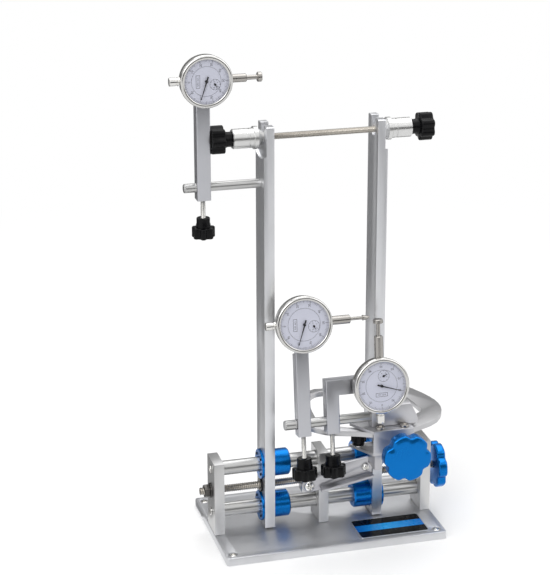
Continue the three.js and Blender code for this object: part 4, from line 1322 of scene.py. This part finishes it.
@dataclass
class GaugeBar:
    """A square gauge bar and the clamp screw with a star knob under it."""

    word: str
    finishes: Finishes
    rod_at: tuple
    rod_radius: float
    drop: float
    knob: tuple
    lean: float = 0.0
    edge: float = 0.4
    gap: float = 0.3
    screw: tuple = (2.1, 2.5, 0.9)

    def build(self) -> None:
        """Builds the bar and its clamp."""
        Bench.edged(f"{self.word}_gauge_bar", f"{self.word}_gauge_holder", self.finishes.bar, self.edge,
                    angle=40)
        place = (Matrix.Translation(Vector(self.rod_at)) @ Matrix.Rotation(-math.radians(self.lean), 4, "X")
                 @ Toward.DOWN.place((0, 0, 0)))
        star = Bench.lift(StarKnob(*self.knob).build(), self.drop)
        Bench.stand_for(f"{self.word}_gauge_clamp", star, f"{self.word}_holder_clamp",
                        self.finishes.black, place)
        top = self.rod_radius + self.gap
        screw = Bench.lift(Thread(*self.screw, self.drop + 2 - top, 16).build(), top)
        Bench.set_in(screw, f"{self.word}_gauge_clamp_screw", f"{self.word}_holder_clamp",
                     self.finishes.bright, place, smooth=25)


@dataclass
class Hand:
    """A tapered pointer on a round hub, with its depths measured from the bezel's front."""

    front: float
    back: float
    reach: float
    tail: float
    root: float
    hub: float
    hub_front: float
    hub_back: float = 3.2

    def build(self) -> bpy.types.Object:
        """Models the pointer along X.

        Returns:
            The new piece, with its arbor on the Z axis.
        """
        reach, half = self.reach, self.root / 2
        hand = Bench.box((-self.tail, -half, -self.back), (reach, half, -self.front))
        with Bench.editing(hand):
            Bench.pick(hand, Select.VERTICES, lambda v: v.co.x > reach - 0.1)
            bpy.ops.transform.resize(value=(1, 0.26, 1), center_override=(reach, 0, -self.back))
            Bench.pick(hand, Select.EDGES, lambda e: min(v.co.x for v in e.verts) < 0.1 - self.tail
                       and abs(e.verts[0].co.z - e.verts[1].co.z) > 0.1)
            bpy.ops.mesh.bevel(offset=self.root * 0.3, segments=3, affect="EDGES")
        hub, top = self.hub, -self.hub_front
        disc = Bench.turned([(hub, -self.hub_back), (hub, top - 0.25), (hub - 0.25, top)], 40)
        return Bench.join([hand, disc])


@dataclass
class DialGauge:
    """A dial gauge around its hub: front towards -Y, stem towards its own +X."""

    word: str
    finishes: Finishes
    screws: Screws
    hub: tuple
    radius: float
    stem: tuple
    cap: float
    spindle: tuple
    tip: tuple
    small_dial: tuple
    lean: float = 0.0
    stem_turn: float = 0.0
    stem_depth: float = 9.5
    back: float = 13.5
    face_front: float = 3.25
    lip: float = 3.8
    scale_share: float = 0.66
    print_rise: float = 0.03
    pointer_turn: float = math.radians(-108)
    small_turn: float = math.radians(-62)
    divisions: int = 100
    small_divisions: int = 10
    small_share: float = 0.235
    mark_rows: tuple = ((1, 2.0, 0.17, 5), (5, 2.7, 0.26, 2), (10, 3.2, 0.36, 0))
    number_size: float = 3.2
    number_inset: float = 5.6
    small_number_size: float = 2.0
    small_number_share: float = 0.58
    unit_size: float = 2.4
    unit_share: float = 0.55
    unit_box: tuple = (4.0, 12.4)
    unit_line: float = 0.35
    back_screw: tuple = (1.6, 0.7)
    back_screw_share: float = 0.62
    stem_root: float = 6.0
    card_back: float = 3.48

    @property
    def place(self) -> Matrix:
        """The gauge's own frame, in millimetres."""
        return (Matrix.Translation(Vector(self.hub)) @ Matrix.Rotation(-math.radians(self.lean), 4, "X")
                @ Matrix.Rotation(-self.stem_turn, 4, "Y"))

    @property
    def face_radius(self) -> float:
        """Radius of the printed face."""
        return self.radius - 3.3

    def aimed(self, way: Toward, at: Sequence[float] = (0, 0, 0)) -> Matrix:
        """A placement in the gauge's own frame."""
        return self.place @ way.place(at)

    def build(self) -> None:
        """Builds every piece of the gauge."""
        self._case()
        self._stem_and_cap()
        self._bezel()
        self._face()
        self._scale_marks()
        self._numbers()
        self._small_marks()
        self._crystal()
        self._pointers()
        self._spindle()

    @property
    def holder(self) -> str:
        """The body of the case."""
        return f"{self.word}_gauge_holder"

    @property
    def rim(self) -> str:
        """The body of the bezel."""
        return f"{self.word}_bezel"

    def _named(self, part: str) -> str:
        """A piece's full name."""
        return f"{self.word}_gauge_{part}"

    def _case(self) -> None:
        """The drum with its rim and its back cover, whose screws sit in a ring."""
        drum, rim, b = self.radius - 0.8, self.radius - 2.0, self.back
        profile = [(rim - 1.2, 3.5), (rim - 1.2, 2.2), (rim - 1.0, 2.0), (rim, 2.2), (rim, 5.0),
                   (drum - 0.3, 5.0), (drum, 5.3), (drum, b - 1.2), (drum - 1.2, b), (drum - 4, b),
                   (drum - 4.3, b - 0.4), (drum - 4.8, b - 0.4), (drum - 5.1, b - 0.05), (3.0, b - 0.05),
                   (3.0, 3.5)]
        case = Bench.turned([(r, -d) for r, d in profile], 96, ring=True)
        Bench.stand_for(self._named("case"), case, self.holder, self.finishes.case,
                        self.aimed(Toward.FRONT), smooth=25)
        for i, (x, z) in enumerate(around(self.back_screw_share * self.radius, 4, math.pi / 4)):
            head = self.screws.cross_head(*self.back_screw)
            Bench.set_in(head, self._named(f"back_screw_{i + 1}"), self.holder, self.finishes.bright,
                         self.aimed(Toward.BACK, (x, b - 0.1, z)))
        lug = Bench.turned([(4.2, 0), (4.2, 3.2), (3.6, 3.8), (3.6, 7.6)], 32)
        Bench.set_in(lug, self._named("back_lug"), self.holder, self.finishes.case,
                     self.aimed(Toward.BACK, (0, 10.0, 0)))

    def _stem_and_cap(self) -> None:
        """The round stem, and the cap on the other side."""
        stem_radius, stem_end = self.stem
        bore = self.spindle[0] + 0.3
        inner = self.radius - self.stem_root
        stem = Bench.turned([(bore, inner), (stem_radius, inner), (stem_radius, stem_end - 0.6),
                             (stem_radius - 0.6, stem_end), (bore, stem_end)], 40, ring=True)
        Bench.set_in(stem, self._named("stem"), self.holder, self.finishes.stem,
                     self.aimed(Toward.RIGHT, (0, self.stem_depth, 0)))
        end = self.cap
        cap = Bench.turned([(4.25, inner), (4.25, self.radius + 1.2), (3.6, self.radius + 1.8),
                            (3.6, self.radius + 2.6), (4.25, self.radius + 3.2), (4.25, end - 0.5),
                            (3.75, end)], 40)
        Bench.set_in(cap, self._named("cap"), self.holder, self.finishes.bright,
                     self.aimed(Toward.LEFT, (0, self.stem_depth, 0)))

    def _bezel(self) -> None:
        """The polished bezel ring."""
        r, o = self.radius, self.radius - self.lip
        profile = [(o, 1.7), (o, 0.5), (o + 0.6, 0.0), (r - 1.6, 0.0), (r - 0.5, 0.45), (r, 1.3),
                   (r, 2.0), (r - 0.35, 2.3), (r - 0.35, 2.9), (r, 3.2), (r, 4.5), (r - 0.2, 4.7),
                   (r - 1.7, 4.7), (r - 1.7, 1.7)]
        bezel = Bench.turned([(x, -d) for x, d in profile], 96, ring=True)
        Bench.stand_for(self._named("bezel"), bezel, self.rim, self.finishes.bezel,
                        self.aimed(Toward.FRONT), smooth=50)

    def _face(self) -> None:
        """The printed card: an outer scale ring that turns with the bezel, and a fixed middle."""
        edge, f, b = self.face_radius * self.scale_share, self.face_front, self.card_back
        ring = Bench.turned([(edge + 0.05, -f), (self.face_radius, -f), (self.face_radius, -b),
                             (edge + 0.05, -b)], 96, ring=True)
        Bench.set_in(ring, self._named("scale_card"), self.rim, self.finishes.card,
                     self.aimed(Toward.FRONT))
        disc = Bench.turned([(edge - 0.05, -b), (edge - 0.05, -f)], 96)
        Bench.set_in(disc, self._named("face_card"), self.holder, self.finishes.card,
                     self.aimed(Toward.FRONT))

    def _marks(self, count: int, inner: float, outer: float, width: float,
               skip: int = 0) -> bpy.types.Object:
        """A ring of thin printed lines, drawn once and spun round.

        Args:
            count: Number of lines.
            inner: Radius where a line starts.
            outer: Radius where it ends.
            width: A line's width.
            skip: Every line of this spacing is left out, or 0 for none.

        Returns:
            The marks, lying in the plane of height 0.
        """
        line = Bench.box((inner, -width / 2, 0), (outer, width / 2, self.print_rise))
        with Bench.editing(line):
            bpy.ops.mesh.select_all(action="SELECT")
            bpy.ops.mesh.spin(steps=count, dupli=True, angle=2 * math.pi, center=(0, 0, 0), axis=(0, 0, 1))
        Bench.tidy(line, 0.0005)
        if skip:
            step = 2 * math.pi / count
            with Bench.editing(line):
                Bench.pick(line, Select.FACES, lambda f: round(math.atan2(
                    f.calc_center_median().y, f.calc_center_median().x) / step) % skip == 0)
                bpy.ops.mesh.delete(type="FACE")
        return line

    def _print(self, pieces: Sequence[bpy.types.Object], part: str, body: str) -> None:
        """Joins printed pieces and lays them on the face."""
        Bench.set_in(Bench.join(pieces), self._named(part), body, self.finishes.print,
                     self.aimed(Toward.FRONT, (0, self.face_front, 0)), smooth=1)

    def _scale_marks(self) -> None:
        """The outer scale's hundred lines, longer at each five and ten."""
        r = self.face_radius - 0.5
        marks = [self._marks(self.divisions // every, r - length, r, width, skip)
                 for every, length, width, skip in self.mark_rows]
        self._print(marks, "scale_marks", self.rim)

    def _writing(self, text: str, size: float, at: tuple[float, float]) -> bpy.types.Object:
        """A word or number as a thin mesh that reads upwards along the stem.

        Args:
            text: What is written.
            size: Height of the letters' body.
            at: Where its middle lies in the face's plane.

        Returns:
            The mesh, lying in the plane of height 0.
        """
        Bench.clear()
        bpy.ops.object.text_add()
        word = bpy.context.object
        word.data.body = text
        word.data.size = size
        word.data.align_x = "CENTER"
        word.data.align_y = "CENTER"
        word.data.extrude = self.print_rise / 2
        word.data.resolution_u = 3
        bpy.ops.object.convert(target="MESH")
        return Bench.move(bpy.context.object, Matrix.Translation((*at, self.print_rise / 2))
                          @ Matrix.Rotation(math.pi / 2, 4, "Z"))

    def _numbers(self) -> None:
        """The numbers of the outer scale, with nought opposite the stem."""
        spots = around(self.face_radius - self.number_inset, 10, math.pi, -1)
        words = [self._writing(str(i * 10), self.number_size, spot) for i, spot in enumerate(spots)]
        self._print(words, "scale_numbers", self.rim)

    def _small_marks(self) -> None:
        """The small dial's circle, lines and numbers, and the unit in its box."""
        x, z = self.small_dial
        step = self.print_rise
        rim = self.small_share * self.face_radius
        marks = Bench.move(self._marks(self.small_divisions, rim - 1.3, rim - 0.1, 0.28),
                           Matrix.Translation((x, z, 0)))
        circle = Bench.turned([(rim - 0.25, 0), (rim, 0), (rim, step), (rim - 0.25, step)], 48, ring=True)
        Bench.move(circle, Matrix.Translation((x, z, 0)))
        limit = self.face_radius * self.scale_share
        inner = Bench.turned([(limit - 0.45, 0), (limit - 0.25, 0), (limit - 0.25, step),
                              (limit - 0.45, step)], 96, ring=True)
        parts = [marks, circle, inner]
        spots = around(self.small_number_share * rim, self.small_divisions, math.pi, -1)
        for i in (2, 4, 6, 8):
            spot = (x + spots[i][0], z + spots[i][1])
            parts.append(self._writing(str(i), self.small_number_size, spot))
        unit_at = (-limit * self.unit_share, 0)
        parts.append(self._writing("0.01 mm", self.unit_size, unit_at))
        parts.append(self._frame_lines(unit_at, *self.unit_box))
        self._print(parts, "small_marks", self.holder)

    def _frame_lines(self, at: tuple[float, float], width: float, height: float) -> bpy.types.Object:
        """A thin rectangle of lines round the unit.

        Args:
            at: Its middle in the face's plane.
            width: Its width.
            height: Its height.

        Returns:
            The lines, lying in the plane of height 0.
        """
        x, y = at
        outer = Bench.box((x - width / 2, y - height / 2, 0),
                          (x + width / 2, y + height / 2, self.print_rise))
        with Bench.editing(outer):
            Bench.pick(outer, Select.FACES, lambda f: abs(f.normal.z) > 0.9)
            bpy.ops.mesh.inset(thickness=self.unit_line)
            bpy.ops.mesh.bridge_edge_loops()
        return outer

    def _crystal(self) -> None:
        """The clear crystal behind the bezel's lip."""
        r = self.radius - self.lip - 0.05
        crystal = Bench.turned([(r, -0.85), (r, -0.45), (r - 1.5, -0.35), (r - 6, -0.3)], 96)
        Bench.set_in(crystal, self._named("crystal"), self.rim, Glass(),
                     self.aimed(Toward.FRONT))

    def _pointers(self) -> None:
        """The long pointer with its round hub, and the small one."""
        self._pointer("long", (0, 0), self.pointer_turn,
                      Hand(front=1.3, back=1.8, reach=self.radius - 7.5, tail=5.0, root=1.5, hub=1.4,
                           hub_front=1.0))
        self._pointer("short", self.small_dial, self.small_turn,
                      Hand(front=2.35, back=2.8, reach=4.2, tail=1.6, root=0.9, hub=1.1, hub_front=2.3))

    def _pointer(self, kind: str, at: tuple[float, float], turn: float, hand: Hand) -> None:
        """Sets a pointer on its arbor.

        Args:
            kind: The first word of its CAD node.
            at: Its arbor in the face's plane.
            turn: Its turn from the stem's direction.
            hand: Its measures.
        """
        place = self.aimed(Toward.FRONT) @ Matrix.Translation((*at, 0)) @ Matrix.Rotation(turn, 4, "Z")
        node = self._named(f"{kind}_pointer")
        Bench.set_in(hand.build(), f"{node}_hand", f"{self.word}_{kind}_hand", self.finishes.ink, place,
                     replaces=[node])

    def _spindle(self) -> None:
        """The ground spindle and its contact tip."""
        radius, end = self.spindle
        tip_radius, tip_end, length = self.tip
        last = end + length
        if tip_end < tip_radius:
            profile = [(radius, end), (tip_radius, end), (tip_radius, end + 1), (tip_end + 0.4, last - 0.4),
                       (tip_end, last)]
        else:
            profile = [(radius, end), (tip_radius - 0.6, end), (tip_radius, end + 0.5),
                       (tip_radius, last - 0.6), (tip_radius - 0.6, last)]
        spindle = Bench.turned([(radius, 16.5 - self.radius), *profile], 40)
        Bench.stand_for(self._named("spindle"), spindle, f"{self.word}_plunger", self.finishes.stem,
                        self.aimed(Toward.RIGHT, (0, self.stem_depth, 0)))


@dataclass
class Studio:
    """The floor, the lamps, the world and the camera at the photograph's view."""

    camera_at: tuple = (-512.4, -1724.6, 893.5)
    look: tuple = (0.2510, 0.9112, -0.3262)
    focal_pixels: float = 1892.65
    image: tuple = (550, 575)
    principal: tuple = (284.3, 276.5)
    sensor: float = 36.0
    white_from: float = 0.45
    white_past: float = 1.2
    floor_shade: tuple = (0.72, 0.72, 0.72, 1)
    floor_seen: tuple = (0.98, 0.98, 0.98, 1)
    room_light: float = 0.55
    lamps: tuple = (("key", (-1.9, -1.8, 2.4), (0, 0, 0.2), 2.6, 46),
                    ("fill", (2.4, -1.4, 1.9), (0, 0, 0.2), 2.4, 18),
                    ("top", (0.2, 0.6, 2.6), (0, 0, 0.1), 2.4, 30))
    cards: tuple = (("front_card", (0.6, -2.4, 0.6), 4.0, 1.16, 90, 0, 0.12),
                    ("back_left_card", (-0.75, 0.4, 0.34), 1.5, 0.68, 90, 15, 0.24),
                    ("back_card", (0.6, 2.5, 0.95), 4.0, 1.3, 90, 0, 0.2),
                    ("left_floor_card", (-0.36, 0.24, 0.002), 0.5, 0.4, 0, 0, 0.28),
                    ("right_floor_card", (0.45, 0.52, 0.002), 0.8, 0.5, 0, 0, 0.1))

    def build(self) -> None:
        """Sets up everything round the object."""
        self._camera()
        self._floor()
        self._cards()
        self._lamps()
        self._world()
        bpy.context.scene.view_settings.view_transform = "Standard"

    def _camera(self) -> None:
        """The camera, with the photograph's own focal length and centre."""
        data = bpy.data.cameras.new("camera")
        camera = bpy.data.objects.new("camera", data)
        bpy.context.scene.collection.objects.link(camera)
        camera.location = [v * MM for v in self.camera_at]
        camera.rotation_mode = "QUATERNION"
        camera.rotation_quaternion = Vector(self.look).to_track_quat("-Z", "Y")
        long_side = max(self.image)
        data.sensor_width = self.sensor
        data.lens = self.focal_pixels * self.sensor / long_side
        data.shift_x = (self.image[0] / 2 - self.principal[0]) / long_side
        data.shift_y = (self.principal[1] - self.image[1] / 2) / long_side
        data.clip_start = 0.05
        data.clip_end = 50
        bpy.context.scene.camera = camera

    @staticmethod
    def _bright_for_view(made: Wiring) -> bpy.types.NodeSocket:
        """A mask that is 1 for camera, glossy and transmission rays.

        Args:
            made: The tree that it is wired in.

        Returns:
            The mask.
        """
        rays = made.node("LightPath", {}).outputs
        seen = made.node("Math", {0: rays["Is Camera Ray"], 1: rays["Is Glossy Ray"]}, operation="MAXIMUM")
        return made.node("Math", {0: seen.outputs[0], 1: rays["Is Transmission Ray"]},
                         operation="MAXIMUM").outputs[0]

    def _floor(self) -> None:
        """A large pale floor that keeps the object's shadow."""
        Bench.clear()
        bpy.ops.mesh.primitive_plane_add(size=12)
        floor = bpy.context.object
        floor.name = "floor"
        made = Recipe("floor")
        view = self._bright_for_view(made)
        made.fix(Roughness=0.9, Specular_IOR_Level=0.0,
                 Base_Color=made.blend(view, self.floor_shade, self.floor_seen))
        self._far_white(made, view)
        floor.data.materials.append(made.material)

    def _far_white(self, made: Recipe, view: bpy.types.NodeSocket) -> None:
        """Makes the floor plain white away from the object for the rays of a mask, and all over in
        reflections.

        Args:
            made: The floor's nodes.
            view: The mask.
        """
        reach = made.node("VectorMath", {0: made.place}, operation="LENGTH").outputs["Value"]
        far = made.node("MapRange", {"Value": reach, "From Min": self.white_from,
                                     "From Max": self.white_past}).outputs["Result"]
        both = made.node("Math", {0: far, 1: view}, operation="MULTIPLY").outputs[0]
        glossy = made.node("LightPath", {}).outputs["Is Glossy Ray"]
        white = made.node("Math", {0: both, 1: glossy}, operation="MAXIMUM").outputs[0]
        joint = made.node("MixShader", {0: white, 1: made.shader.outputs[0],
                                        2: made.node("Emission", {}).outputs[0]})
        made.fill(made.tree.nodes["Material Output"], {"Surface": joint.outputs[0]})

    def _cards(self) -> None:
        """Grey cards that only reflections see, which give metal its darker sides."""
        for name, at, width, height, tilt, turn, shade in self.cards:
            made = Recipe(name)
            made.fix(Base_Color=(shade, shade, shade, 1), Specular_IOR_Level=0.0)
            Bench.clear()
            bpy.ops.mesh.primitive_plane_add(size=1, location=at)
            card = bpy.context.object
            card.name = name
            card.scale = (width, height, 1)
            card.rotation_euler = (math.radians(tilt), 0, math.radians(turn))
            card.visible_camera = card.visible_diffuse = card.visible_shadow = False
            card.data.materials.append(made.material)

    def _lamps(self) -> None:
        """Three large soft lamps: a key, a fill and one above."""
        for name, at, aim, size, power in self.lamps:
            data = bpy.data.lights.new(name, "AREA")
            data.shape = "SQUARE"
            data.size = size
            data.energy = power
            lamp = bpy.data.objects.new(name, data)
            bpy.context.scene.collection.objects.link(lamp)
            lamp.location = at
            lamp.rotation_mode = "QUATERNION"
            lamp.rotation_quaternion = (Vector(aim) - Vector(at)).to_track_quat("-Z", "Y")

    def _world(self) -> None:
        """An even grey room that looks white to the camera."""
        world = bpy.data.worlds.new("room")
        bpy.context.scene.world = world
        world.use_nodes = True
        made = Wiring(world.node_tree)
        strength = made.node("MapRange", {"Value": self._bright_for_view(made),
                                          "To Min": self.room_light, "To Max": 1.0})
        made.fill(made.tree.nodes["Background"], {"Strength": strength.outputs["Result"],
                                                  "Color": (1, 1, 1, 1)})


def main() -> None:
    """Builds the stand's sub-assemblies in order, then the studio."""
    logging.basicConfig(level=logging.INFO, format="%(message)s")
    Bench.clear()
    finishes, screws = Finishes(), Screws()
    large_knob = (8.3, 10.3, 13.0, 11.8)
    lean = 8.0
    parts = [
        Base(finishes, screws),
        Drive(finishes, screws),
        Column("left", -1, finishes, screws),
        Column("right", 1, finishes, screws),
        Rods(finishes),
        Carriage(finishes, screws),
        GaugeBar("left", finishes, rod_at=(-120.3, COLUMN_Y, 376.4), rod_radius=4.5, drop=30.8,
                 knob=(7.25, 9.2, 11.5, 11.0)),
        GaugeBar("middle", finishes, rod_at=(-28.2, CROSS_Y, CROSS_Z), rod_radius=5.0, drop=36.0,
                 knob=large_knob, lean=lean),
        GaugeBar("right", finishes, rod_at=(2.0, CROSS_Y, CROSS_Z), rod_radius=5.0, drop=36.0,
                 knob=large_knob, lean=lean),
        DialGauge("left", finishes, screws, hub=(-120.3, -28.2, 486.0), radius=25.5, stem=(4.0, 40.3),
                  cap=34.7, spindle=(2.25, 51.0), tip=(4.75, 4.75, 4.3), small_dial=(8.5, -3.4)),
        DialGauge("middle", finishes, screws, hub=(-29.2, -47.68, 240.31), radius=28.8,
                  stem=(4.5, 48.8), cap=38.0, spindle=(1.75, 62.0), tip=(2.8, 1.0, 7.0),
                  small_dial=(10.0, -2.5), lean=lean),
        DialGauge("right", finishes, screws, hub=(49.0, -57.48, 170.60), radius=28.8,
                  stem=(4.5, 50.2), cap=40.0, spindle=(2.0, 63.2), tip=(5.0, 5.0, 4.3),
                  small_dial=(10.0, -2.5), lean=lean, stem_turn=math.pi / 2),
    ]
    for part in parts:
        part.build()
        LOG.info("built %s", type(part).__name__)
    screws.discard()
    Studio().build()


if __name__ == "__main__":
    main()
